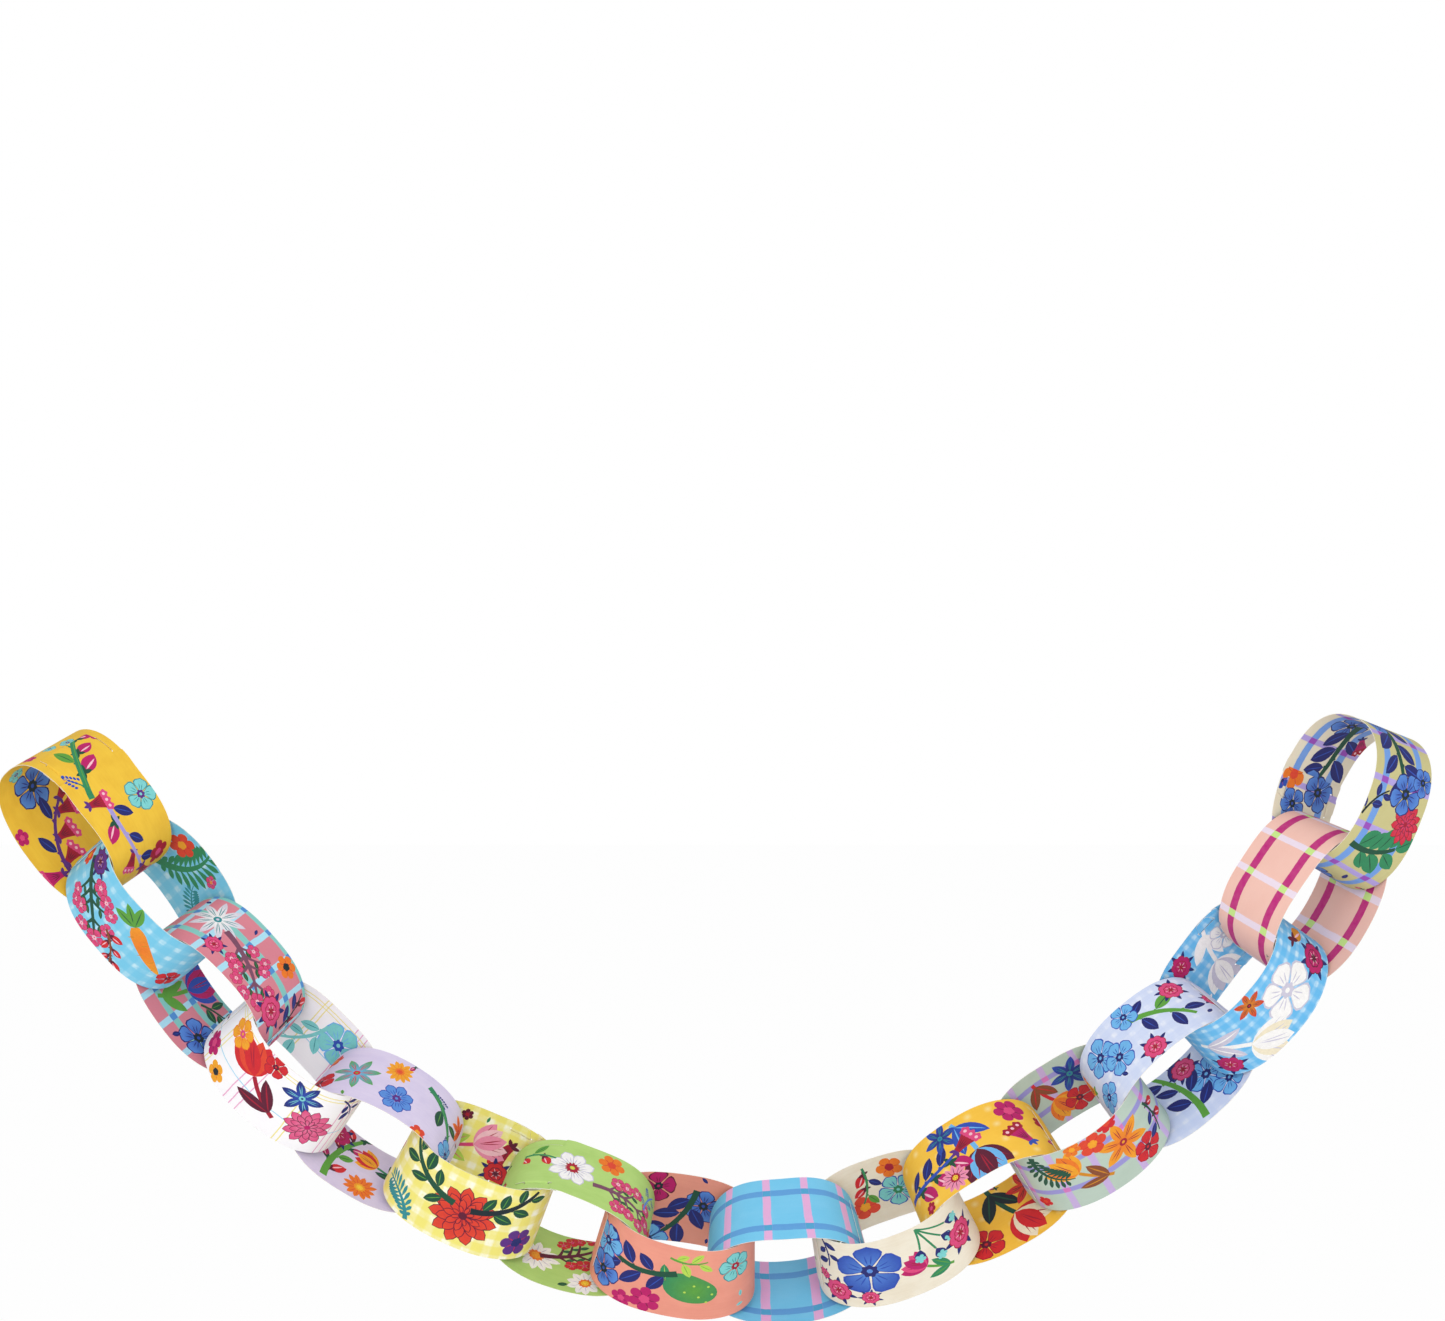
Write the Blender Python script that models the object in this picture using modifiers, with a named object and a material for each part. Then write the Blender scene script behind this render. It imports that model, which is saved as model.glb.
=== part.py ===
"""Paper chain garland: interlocked loops of printed card, hung in a shallow curve.

Every loop is one flat strip, bent round and closed without glue: two ears on the
tongue at one end pass through two slits near the other end. Each loop goes through
the next one, a quarter turn round, and bears on it with the edges of its strip.
Metres, +Z up, the garland hangs in the XZ plane and is seen along +Y.
"""
import math

import bmesh
import bpy
from mathutils import Matrix, Vector
from mathutils.bvhtree import BVHTree

# The flat strip
STRIP_WIDTH = 0.0508
STRIP_LENGTH = 0.278
CARD = 0.0003

# The lock, measured from the tip of the tongue back along the strip
LAP = 0.026
TONGUE_INSET = 0.006
TONGUE_TIP = 0.006
EAR_LENGTH = 0.014
EAR_SLANT = 0.0025
NOTCH = 0.002
PLY_GAP = 0.0003
SLIT_HALF_WIDTH = 0.00075
SLIT_END_ROOM = 0.0005
EAR_FOLD = 0.001
RAMP = 0.010

# The loop's oval and the bays that its bend is made of
LOOP_SPARE = 0.0140
OVAL_POWER = 2.4
BAY = 0.0065

# How the chain hangs
CONTACT_GAP = 0.00035
CATENARY = 0.272
LOWEST_LINK = 8.8
ROLL = 45.0
LINE_STEP = 0.001

# Node name, colour, sway off the hanging curve in degrees, turn about the chain's line
# in degrees, place of the lap round the loop in turns, and hand of the strip
LINKS = (
    ("link_01_gold", (0.66, 0.43, 0.07), 8.0, 4.0, 0.36, 1),
    ("link_02_pale_blue", (0.40, 0.64, 0.89), 6.5, 8.0, 0.50, 1),
    ("link_03_dusty_pink", (0.54, 0.20, 0.28), 2.0, 11.0, 0.00, 1),
    ("link_04_white", (0.88, 0.86, 0.87), 4.0, 14.0, 0.50, 1),
    ("link_05_lavender", (0.50, 0.46, 0.68), 9.5, 18.0, 0.00, 1),
    ("link_06_pale_yellow", (0.90, 0.86, 0.45), 9.0, 21.0, 0.19, 1),
    ("link_07_apple_green", (0.38, 0.50, 0.17), 3.5, 20.0, 0.36, 1),
    ("link_08_salmon", (0.78, 0.35, 0.27), 0.5, 16.0, 0.50, 1),
    ("link_09_sky_blue", (0.20, 0.55, 0.82), 1.5, 13.0, 0.00, 1),
    ("link_10_cream", (0.66, 0.62, 0.52), 4.5, 12.0, 0.50, 1),
    ("link_11_golden_yellow", (0.83, 0.52, 0.10), 3.5, 10.0, 0.00, 1),
    ("link_12_sage", (0.41, 0.47, 0.37), -4.0, 9.0, 0.50, 1),
    ("link_13_ice_blue", (0.58, 0.66, 0.86), -3.0, 10.0, 0.00, 1),
    ("link_14_cornflower", (0.16, 0.45, 0.75), 1.5, 11.0, 0.19, 1),
    ("link_15_peach", (0.82, 0.45, 0.36), 3.5, 10.0, 0.46, 1),
    ("link_16_khaki_cream", (0.51, 0.48, 0.34), 10.0, 8.0, 0.28, 1),
)

GIRTH = STRIP_LENGTH - LAP
HALF_WIDTH = STRIP_WIDTH / 2
SLIT_CENTRE = HALF_WIDTH - TONGUE_INSET
PLY_LIFT = CARD + PLY_GAP
COLLECTION = "paper_chain_garland"
OVAL_POINTS = 360


def clear_scene():
    for old in list(bpy.data.objects):
        bpy.data.objects.remove(old, do_unlink=True)


def oval_points(half_length, half_height):
    """Points round the oval from its right end over the top, first one not repeated."""
    points = []
    for step in range(OVAL_POINTS):
        angle = 2 * math.pi * step / OVAL_POINTS
        c, s = math.cos(angle), math.sin(angle)
        x = math.copysign(abs(c) ** (2 / OVAL_POWER), c) * half_length
        z = math.copysign(abs(s) ** (2 / OVAL_POWER), s) * half_height
        points.append(Vector((x, 0.0, z)))
    return points


def run_length(points):
    return sum((b - a).length for a, b in zip(points, points[1:] + points[:1]))


def half_length_for(half_height):
    """The half length that gives the oval the girth of the bent strip."""
    low, high = 0.0, GIRTH / 2
    for _ in range(40):
        middle = (low + high) / 2
        if run_length(oval_points(middle, half_height)) < GIRTH:
            low = middle
        else:
            high = middle
    return (low + high) / 2


class Oval:
    """The middle of a loop's card, seen from the strip's edge and measured along it."""

    def __init__(self, half_height):
        self.half_length = half_length_for(half_height)
        self.points = oval_points(self.half_length, half_height)
        self.marks = [0.0]
        for a, b in zip(self.points, self.points[1:] + self.points[:1]):
            self.marks.append(self.marks[-1] + (b - a).length)
        self.length = self.marks[-1]

    def at(self, distance):
        """Point and outward direction at a distance round the oval."""
        distance = distance % self.length
        low, high = 0, OVAL_POINTS
        while high - low > 1:
            middle = (low + high) // 2
            if self.marks[middle] <= distance:
                low = middle
            else:
                high = middle
        part = (distance - self.marks[low]) / (self.marks[high] - self.marks[low])
        here, after = self.points[low], self.points[(low + 1) % OVAL_POINTS]
        before, beyond = self.points[low - 1], self.points[(low + 2) % OVAL_POINTS]
        tangent = (after - before).lerp(beyond - here, part)
        outward = Vector((tangent.z, 0.0, -tangent.x)).normalized()
        return here.lerp(after, part), outward


def lock_marks():
    """Stations of the lap, measured from the inner ply's end, shared by both plies."""
    ear_far = LAP - TONGUE_TIP
    ear_near = ear_far - EAR_LENGTH
    return {
        "end": 0.0,
        "notch": ear_near - NOTCH,
        "slit_near": ear_near - SLIT_END_ROOM,
        "ear_near": ear_near,
        "ear_tip_near": ear_near + EAR_SLANT,
        "ear_middle": ear_near + EAR_LENGTH / 2,
        "ear_tip_far": ear_far - EAR_SLANT,
        "ear_far": ear_far,
        "slit_far": ear_far + SLIT_END_ROOM,
        "tip": LAP,
    }


def stations():
    """Distances along the strip at which it is bent."""
    lap = sorted(lock_marks().values())
    plain = GIRTH - LAP
    bays = max(8, round(plain / BAY))
    run = [LAP + plain * step / bays for step in range(1, bays)]
    return lap + run + [GIRTH + mark for mark in lap]


def lift(distance, across):
    """How far the card stands outside the oval: the tongue climbs on, its ears dive in."""
    marks = lock_marks()
    climb = min(1.0, max(0.0, (distance - GIRTH + RAMP) / RAMP))
    tiny = CARD / 100
    in_ear = marks["ear_near"] - tiny < distance - GIRTH < marks["ear_far"] + tiny
    if in_ear and abs(across) > SLIT_CENTRE:
        return -PLY_LIFT
    return PLY_LIFT * climb


def panels(start, end):
    """Pieces of the flat strip between two stations, as (left, right) at start and at end."""
    marks = lock_marks()
    middle = (start + end) / 2
    if marks["slit_near"] < middle < marks["slit_far"]:
        inner = SLIT_CENTRE - SLIT_HALF_WIDTH
        outer = SLIT_CENTRE + SLIT_HALF_WIDTH
        margin = (outer, HALF_WIDTH, outer, HALF_WIDTH)
        return [(-inner, inner, -inner, inner), margin, mirrored(margin)]
    from_lap = middle - GIRTH
    if from_lap < marks["notch"]:
        return [(-HALF_WIDTH, HALF_WIDTH, -HALF_WIDTH, HALF_WIDTH)]
    root = SLIT_CENTRE - EAR_FOLD / 2
    foot = SLIT_CENTRE + EAR_FOLD / 2
    pieces = [(-root, root, -root, root)]
    if marks["ear_near"] < from_lap < marks["ear_far"]:
        fold = (root, foot, root, foot)
        ear = (foot, ear_edge(start - GIRTH, foot), foot, ear_edge(end - GIRTH, foot))
        pieces += [fold, mirrored(fold), ear, mirrored(ear)]
    return pieces


def mirrored(piece):
    left_start, right_start, left_end, right_end = piece
    return (-right_start, -left_start, -right_end, -left_end)


def ear_edge(from_lap, foot):
    """How far out an ear reaches at a station: a trapezoid up to the strip's edge."""
    marks = lock_marks()
    from_end = min(from_lap - marks["ear_near"], marks["ear_far"] - from_lap)
    share = min(1.0, max(0.0, from_end / EAR_SLANT))
    return foot + (HALF_WIDTH - foot) * share


def strip_sheet(oval, lap_turn, hand):
    """The strip as an open surface, cut out flat and bent round the oval."""
    places = stations()
    bays = [(a, b, panels(a, b)) for a, b in zip(places, places[1:])]
    across = {place: set() for place in places}
    for start, end, pieces in bays:
        for left_start, right_start, left_end, right_end in pieces:
            across[start].update((left_start, right_start))
            across[end].update((left_end, right_end))
    sheet = bmesh.new()
    corners = {}
    lap_start = lap_turn * oval.length - hand * LAP / 2

    def corner(place, side):
        key = (place, round(side, 7))
        if key not in corners:
            point, outward = oval.at(lap_start + hand * place)
            point = point + outward * lift(place, side)
            point.y = side * hand
            corners[key] = sheet.verts.new(point)
        return corners[key]

    def row(place, left, right):
        tiny = CARD / 100
        sides = [s for s in sorted(across[place]) if left - tiny < s < right + tiny]
        found = []
        for side in sides:
            vert = corner(place, side)
            if vert not in found:
                found.append(vert)
        return found

    for start, end, pieces in bays:
        for left_start, right_start, left_end, right_end in pieces:
            near = row(start, left_start, right_start)
            far = row(end, left_end, right_end)
            sheet.faces.new(near + far[::-1])
    bmesh.ops.recalc_face_normals(sheet, faces=sheet.faces)
    return sheet


def card_material(name, colour):
    material = bpy.data.materials.new(name + "_card")
    material.use_nodes = True
    shader = material.node_tree.nodes["Principled BSDF"]
    shader.inputs["Base Color"].default_value = (*colour, 1.0)
    shader.inputs["Roughness"].default_value = 0.7
    shader.inputs["Metallic"].default_value = 0.0
    return material


def make_link(name, colour, sheet, collection):
    """A link is its bent sheet, thickened to card by a modifier."""
    mesh = bpy.data.meshes.new(name)
    sheet.to_mesh(mesh)
    mesh.materials.append(card_material(name, colour))
    link = bpy.data.objects.new(name, mesh)
    collection.objects.link(link)
    card = link.modifiers.new("Card", "SOLIDIFY")
    card.thickness = CARD
    card.offset = 0.0
    card.use_even_offset = True
    return link


def evaluated_shape(link):
    """Corners and faces of the link as it is seen, in its own frame."""
    bpy.context.view_layer.update()
    graph = bpy.context.evaluated_depsgraph_get()
    mesh = link.evaluated_get(graph).to_mesh()
    corners = [v.co.copy() for v in mesh.vertices]
    faces = [tuple(p.vertices) for p in mesh.polygons]
    link.evaluated_get(graph).to_mesh_clear()
    return corners, faces


def real_and_padded(link):
    """The link's shape, and the shape with the contact gap added to each face."""
    real = evaluated_shape(link)
    card = link.modifiers["Card"]
    card.thickness = CARD + 2 * CONTACT_GAP
    padded = evaluated_shape(link)
    card.thickness = CARD
    return real, padded


def tree(shape, place):
    corners, faces = shape
    return BVHTree.FromPolygons([place @ c for c in corners], faces)


def touches(first, second, distance):
    """Do two straight neighbours come nearer than the contact gap at this distance?"""
    quarter_turn = Matrix.Rotation(math.pi / 2, 4, "X")
    place_b = Matrix.Translation((distance, 0, 0)) @ quarter_turn
    (real_a, padded_a), (real_b, padded_b) = first, second
    here = Matrix.Identity(4)
    if tree(real_a, here).overlap(tree(padded_b, place_b)):
        return True
    return bool(tree(padded_a, here).overlap(tree(real_b, place_b)))


def pitch_of(first, second, half_length):
    """How far apart two neighbours hang when the strip edges of each bear on the other."""
    step = STRIP_WIDTH / 40
    pitch = 2 * half_length - STRIP_WIDTH * 0.9
    while not touches(first, second, pitch + step) and pitch < 2 * half_length:
        pitch += step
    low, high = pitch, pitch + step
    for _ in range(12):
        middle = (low + high) / 2
        if touches(first, second, middle):
            high = middle
        else:
            low = middle
    return low


class ChainLine:
    """The curve that the chain's middle follows: a catenary with a little sway."""

    def __init__(self, middles, reach):
        self.middles = middles
        self.lowest = self.between(middles, LOWEST_LINK - 1)
        self.start = middles[0] - reach
        self.points = [Vector((0, 0, 0))]
        distance = self.start
        while distance < middles[-1] + reach:
            slope = math.radians(self.slope(distance + LINE_STEP / 2))
            ahead = Vector((math.cos(slope), 0, math.sin(slope))) * LINE_STEP
            self.points.append(self.points[-1] + ahead)
            distance += LINE_STEP

    @staticmethod
    def between(values, index):
        """Value at a fractional index, held at both ends."""
        index = min(max(index, 0.0), len(values) - 1.0)
        low = min(int(index), len(values) - 2)
        return values[low] + (values[low + 1] - values[low]) * (index - low)

    def index_at(self, distance):
        """Fractional index of the link that is at a distance along the line."""
        for low, (a, b) in enumerate(zip(self.middles, self.middles[1:])):
            if distance < b:
                return max(0.0, low + (distance - a) / (b - a))
        return len(self.middles) - 1.0

    def slope(self, distance):
        """Slope in degrees, rising to the right of the lowest place."""
        hang = math.degrees(math.atan((distance - self.lowest) / CATENARY))
        return hang + self.between([link[2] for link in LINKS], self.index_at(distance))

    def turn(self, distance):
        """Turn about the line in degrees."""
        return self.between([link[3] for link in LINKS], self.index_at(distance))

    def point(self, distance):
        return self.between(self.points, (distance - self.start) / LINE_STEP)

    def place(self, distance, roll):
        """Frame of a loop at a distance: X along the line, Y across the strip."""
        lay = Matrix.Rotation(-math.radians(self.slope(distance)), 4, "Y")
        turn = Matrix.Rotation(-math.radians(roll + self.turn(distance)), 4, "X")
        return Matrix.Translation(self.point(distance)) @ lay @ turn


def bend_to_line(sheet, line, middle, roll):
    """Let a straight-hung loop follow the chain's line, and give its frame there."""
    frame = line.place(middle, roll)
    back = frame.inverted()
    for vert in sheet.verts:
        section = line.place(middle + vert.co.x, roll)
        vert.co = back @ section @ Vector((0, vert.co.y, vert.co.z))
    return frame


def hanging_point(link):
    """Middle of the flat inside the first loop's free end, where a hook or a pin bears."""
    corners, faces = evaluated_shape(link)
    ends = []
    for face in faces:
        places = [corners[index] for index in face]
        normal = (places[1] - places[0]).cross(places[2] - places[0]).normalized()
        centre = sum(places, Vector()) / len(places)
        if normal.x > 0.9:
            ends.append((centre.x, centre))
    return link.matrix_world @ min(ends, key=lambda end: end[0])[1]


def build():
    clear_scene()
    collection = bpy.data.collections.new(COLLECTION)
    bpy.context.scene.collection.children.link(collection)
    oval = Oval((STRIP_WIDTH + LOOP_SPARE) / 2)
    sheets = [strip_sheet(oval, place, hand) for *_, place, hand in LINKS]
    links = []
    middles = [0.0]
    for (name, colour, *_), sheet in zip(LINKS, sheets):
        link = make_link(name, colour, sheet, collection)
        shapes = real_and_padded(link)
        if links:
            middles.append(middles[-1] + pitch_of(links[-1][1], shapes, oval.half_length))
        links.append((link, shapes))
    line = ChainLine(middles, oval.half_length + STRIP_WIDTH)
    for index, ((link, _), sheet) in enumerate(zip(links, sheets)):
        roll = ROLL if index % 2 else -ROLL
        link.matrix_world = bend_to_line(sheet, line, middles[index], roll)
        sheet.to_mesh(link.data)
        sheet.free()
    bpy.context.view_layer.update()
    origin = hanging_point(links[0][0])
    for link, _ in links:
        link.location -= origin


build()
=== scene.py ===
"""Paper chain garland, dressed: sixteen printed card strips bent into interlocked loops.

Each strip is drawn flat, in millimetres along and across it: its outline with slits and
eared tongue, and shapes of ink for both faces. The flat drawing is cut into small
triangles, bent round the loop's oval and laid along the line that the chain hangs in.
The grounds of the papers (gingham, plaid, mottled) are nodes that read the flat drawing.
"""
import math
import random
from functools import partial

import bpy
import numpy as np
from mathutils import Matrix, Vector
from mathutils.geometry import delaunay_2d_cdt


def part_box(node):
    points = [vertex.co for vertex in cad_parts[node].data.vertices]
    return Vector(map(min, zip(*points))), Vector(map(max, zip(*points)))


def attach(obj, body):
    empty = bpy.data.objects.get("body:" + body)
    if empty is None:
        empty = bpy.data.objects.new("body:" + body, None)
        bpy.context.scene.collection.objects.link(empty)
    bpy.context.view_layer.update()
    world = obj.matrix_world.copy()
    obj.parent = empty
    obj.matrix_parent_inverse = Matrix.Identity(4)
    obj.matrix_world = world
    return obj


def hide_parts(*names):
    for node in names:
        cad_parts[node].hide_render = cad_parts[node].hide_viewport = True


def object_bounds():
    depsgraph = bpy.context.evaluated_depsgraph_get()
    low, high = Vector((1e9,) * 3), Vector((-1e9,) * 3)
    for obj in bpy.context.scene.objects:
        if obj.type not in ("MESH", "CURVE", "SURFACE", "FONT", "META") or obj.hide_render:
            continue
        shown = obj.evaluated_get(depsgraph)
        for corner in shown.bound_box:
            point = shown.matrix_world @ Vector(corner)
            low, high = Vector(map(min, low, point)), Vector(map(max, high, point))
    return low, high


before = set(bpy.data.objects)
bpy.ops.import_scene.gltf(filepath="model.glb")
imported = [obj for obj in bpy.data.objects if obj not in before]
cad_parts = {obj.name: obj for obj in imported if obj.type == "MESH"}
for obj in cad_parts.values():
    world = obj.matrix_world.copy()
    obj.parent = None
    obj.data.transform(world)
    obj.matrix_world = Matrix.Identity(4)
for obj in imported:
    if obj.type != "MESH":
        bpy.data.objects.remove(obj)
cad_low, cad_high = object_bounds()

METRES = 0.001

# The flat strip and its lock, in millimetres
STRIP_WIDTH = 50.8
STRIP_LENGTH = 278.0
CARD = 0.3
LAP = 26.0
TONGUE_INSET = 6.0
TONGUE_TIP = 6.0
EAR_LENGTH = 14.0
EAR_SLANT = 2.5
NOTCH = 2.0
PLY_GAP = 0.3
SLIT_HALF_WIDTH = 0.75
SLIT_END_ROOM = 0.5
EAR_FOLD = 1.0
RAMP = 10.0
EAR_ROUND = 1.6
TIP_ROUND = 1.2
GIRTH = STRIP_LENGTH - LAP
HALF_WIDTH = STRIP_WIDTH / 2
SLIT_CENTRE = HALF_WIDTH - TONGUE_INSET
PLY_LIFT = CARD + PLY_GAP
EAR_FAR = GIRTH + LAP - TONGUE_TIP
EAR_NEAR = EAR_FAR - EAR_LENGTH

# The loop's oval and the line of the chain
LOOP_SPARE = 14.0
OVAL_POWER = 2.4
OVAL_POINTS = 1440
CATENARY = 272.0
LOWEST_LINK = 8.8
ROLL = 45.0
LINE_STEP = 1.0
FIRST_PITCH = 62.0

# How finely the flat strip is cut
GRID_ALONG = 1.8
GRID_ACROSS = 3.175
LONGEST_EDGE = 2.4
PLAIN_BEND = 0.07
MERGE = 1e-4

# The card's waves, and the sizes of the print's motifs, in millimetres
WAVE_HEIGHT = 0.5
WAVES_ROUND = 3
WAVE_SHIFT = 0.37
CROSS_WAVE_SHIFT = 1.9
CROSS_WAVE = 0.6
CROSS_WAVE_REACH = 14
SMALL_MOTIFS = (4.0, 7.0)
CROWDED_SIZE = 26.0
CROWDED_SHARE = 0.6
TRIES = 400

# The baking map: how much of its third and row a piece of the strip takes, and where it starts
MAP_LENGTH, MAP_START = 0.47, 0.015
MAP_WIDTH, MAP_EDGE = 0.31, 0.01

# Camera and stage, in metres
CAMERA_X, CAMERA_Z = 0.3932, 0.0539
CAMERA_DISTANCE = 1.70
PHOTO_WIDTH = 1445
PIXELS_PER_METRE = 1738
SENSOR = 36.0
FLOOR_DROP = 0.10
FLOOR_SIZE = 12.0
FLOOR_WHITE = (0.95, 0.95, 0.95, 1)
WHITE = (1, 1, 1, 1)
GLOW_SHARE = 0.97
ROOM_LIGHT = 0.68
LAMP_SIZE = 1.2
# Each lamp's name, its place from the garland's middle, and its power in watts
LAMPS = (("key", (-0.55, -1.8, 0.8), 11.5), ("fill", (0.8, -1.9, 0.1), 9.5))

# Node, sway off the hanging curve, turn about the line, place of the lap in turns
HANG = (
    ("link_01_gold", 8.0, 4.0, 0.36),
    ("link_02_pale_blue", 6.5, 8.0, 0.50),
    ("link_03_dusty_pink", 2.0, 11.0, 0.00),
    ("link_04_white", 4.0, 14.0, 0.50),
    ("link_05_lavender", 9.5, 18.0, 0.00),
    ("link_06_pale_yellow", 9.0, 21.0, 0.19),
    ("link_07_apple_green", 3.5, 20.0, 0.36),
    ("link_08_salmon", 0.5, 16.0, 0.50),
    ("link_09_sky_blue", 1.5, 13.0, 0.00),
    ("link_10_cream", 4.5, 12.0, 0.50),
    ("link_11_golden_yellow", 3.5, 10.0, 0.00),
    ("link_12_sage", -4.0, 9.0, 0.50),
    ("link_13_ice_blue", -3.0, 10.0, 0.00),
    ("link_14_cornflower", 1.5, 11.0, 0.19),
    ("link_15_peach", 3.5, 10.0, 0.46),
    ("link_16_khaki_cream", 10.0, 8.0, 0.28),
)
SWAYS = [row[1] for row in HANG]
TURNS = [row[2] for row in HANG]

PAINTS = {
    "white": "FAF8F6", "mist": "CFCBDD", "cream": "F3E8CC",
    "red": "D3222B", "poppy": "E2452B", "crimson": "A81432", "maroon": "5E1030",
    "rose": "E0477F", "magenta": "BE1467", "pink": "EE8FB0", "blush": "F7C3CF",
    "orange": "EF7A1E", "amber": "F5A623", "ochre": "D58A1C", "yellow": "FAD43A",
    "lime": "B9DA55", "leaf": "5DA23C", "fern": "2E8A5B",
    "forest": "17503A", "ink": "14262E", "teal": "2F8F96", "aqua": "7FD3D2",
    "navy": "1E2470", "blue": "2C4FB4", "cornflower": "5A8FDD", "sky": "6EB6EC",
    "lilac": "A79BDB", "purple": "5D2A86", "bark": "7C4A63", "brown": "8A4B2A",
    "core": "F4EFE3",
}


def linear(code):
    """Scene-linear colour of a paint's name or of a six-digit sRGB code."""
    code = PAINTS.get(code, code)
    parts = [int(code[place:place + 2], 16) / 255 for place in (0, 2, 4)]
    return tuple(p / 12.92 if p <= 0.04045 else ((p + 0.055) / 1.055) ** 2.4 for p in parts)


# The loop and the line


class Oval:
    """The middle layer of a loop's card, seen from the strip's edge and measured along it."""

    def __init__(self):
        low, high = 0.0, GIRTH / 2
        for _ in range(40):
            self.half_length = (low + high) / 2
            if self.trace(self.half_length)[2][-1] < GIRTH:
                low = self.half_length
            else:
                high = self.half_length
        self.x, self.z, self.marks = self.trace(self.half_length)
        self.length = self.marks[-1]
        self.run_x, self.run_z = self.tangents()

    @staticmethod
    def trace(half_length):
        angle = np.linspace(0, 2 * math.pi, OVAL_POINTS + 1)
        c, s = np.cos(angle), np.sin(angle)
        x = np.sign(c) * np.abs(c) ** (2 / OVAL_POWER) * half_length
        z = np.sign(s) * np.abs(s) ** (2 / OVAL_POWER) * (STRIP_WIDTH + LOOP_SPARE) / 2
        marks = np.concatenate(([0.0], np.cumsum(np.hypot(np.diff(x), np.diff(z)))))
        return x, z, marks

    def tangents(self):
        """Direction of the card at each point, the ends joined up."""
        run = []
        for values in (self.x, self.z):
            padded = np.concatenate(([values[-2]], values, [values[1]]))
            run.append(padded[2:] - padded[:-2])
        size = np.hypot(*run)
        return run[0] / size, run[1] / size

    def at(self, distance):
        """Points and outward directions at distances round the oval."""
        distance = np.mod(distance, self.length)
        x, z = (np.interp(distance, self.marks, values) for values in (self.x, self.z))
        tx, tz = (np.interp(distance, self.marks, values) for values in (self.run_x, self.run_z))
        size = np.hypot(tx, tz)
        return x, z, tz / size, -tx / size


class ChainLine:
    """The curve that the chain's middle follows: a catenary with a little sway."""

    def __init__(self, middles, reach):
        self.middles = np.array(middles)
        self.lowest = np.interp(LOWEST_LINK - 1, range(len(middles)), middles)
        self.marks = np.arange(middles[0] - reach, middles[-1] + reach, LINE_STEP)
        slope = self.slope(self.marks + LINE_STEP / 2)
        self.x = np.concatenate(([0.0], np.cumsum(np.cos(slope))))[:-1] * LINE_STEP
        self.z = np.concatenate(([0.0], np.cumsum(np.sin(slope))))[:-1] * LINE_STEP

    def spread(self, values, distance):
        """Values that go with the links, at distances along the line."""
        return np.interp(distance, self.middles, values)

    def slope(self, distance):
        hang = np.arctan((distance - self.lowest) / CATENARY)
        return hang + np.radians(self.spread(SWAYS, distance))

    def place(self, distance, y, z, roll):
        """Points at distances along the line, off it by y and z in the loop's own frame."""
        turn = np.radians(roll + self.spread(TURNS, distance))
        slope = self.slope(distance)
        y, z = y * np.cos(turn) + z * np.sin(turn), z * np.cos(turn) - y * np.sin(turn)
        x = np.interp(distance, self.marks, self.x) - z * np.sin(slope)
        return np.stack((x, y, np.interp(distance, self.marks, self.z) + z * np.cos(slope)), axis=1)


def lift(along, across):
    """How far the card stands outside the oval: the tongue climbs on, its ears dive in."""
    climb = np.clip((along - GIRTH + RAMP) / RAMP, 0, 1)
    climb = climb * climb * (3 - 2 * climb)
    dive = np.clip((np.abs(across) - SLIT_CENTRE) / EAR_FOLD + 0.5, 0, 1)
    dive = dive * dive * (3 - 2 * dive) * (along > EAR_NEAR - MERGE) * (along < EAR_FAR + MERGE)
    return PLY_LIFT * (climb - 2 * dive)


def warp(index, turn, across):
    """The card's own slight waves, in millimetres: none at the loop's ends, where links touch."""
    calm = np.sin(2 * math.pi * turn) ** 4
    wave = np.sin(2 * math.pi * (WAVES_ROUND * turn + WAVE_SHIFT * index))
    cross = CROSS_WAVE * np.sin(across / CROSS_WAVE_REACH + CROSS_WAVE_SHIFT * index)
    return WAVE_HEIGHT * calm * (wave + cross)


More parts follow.
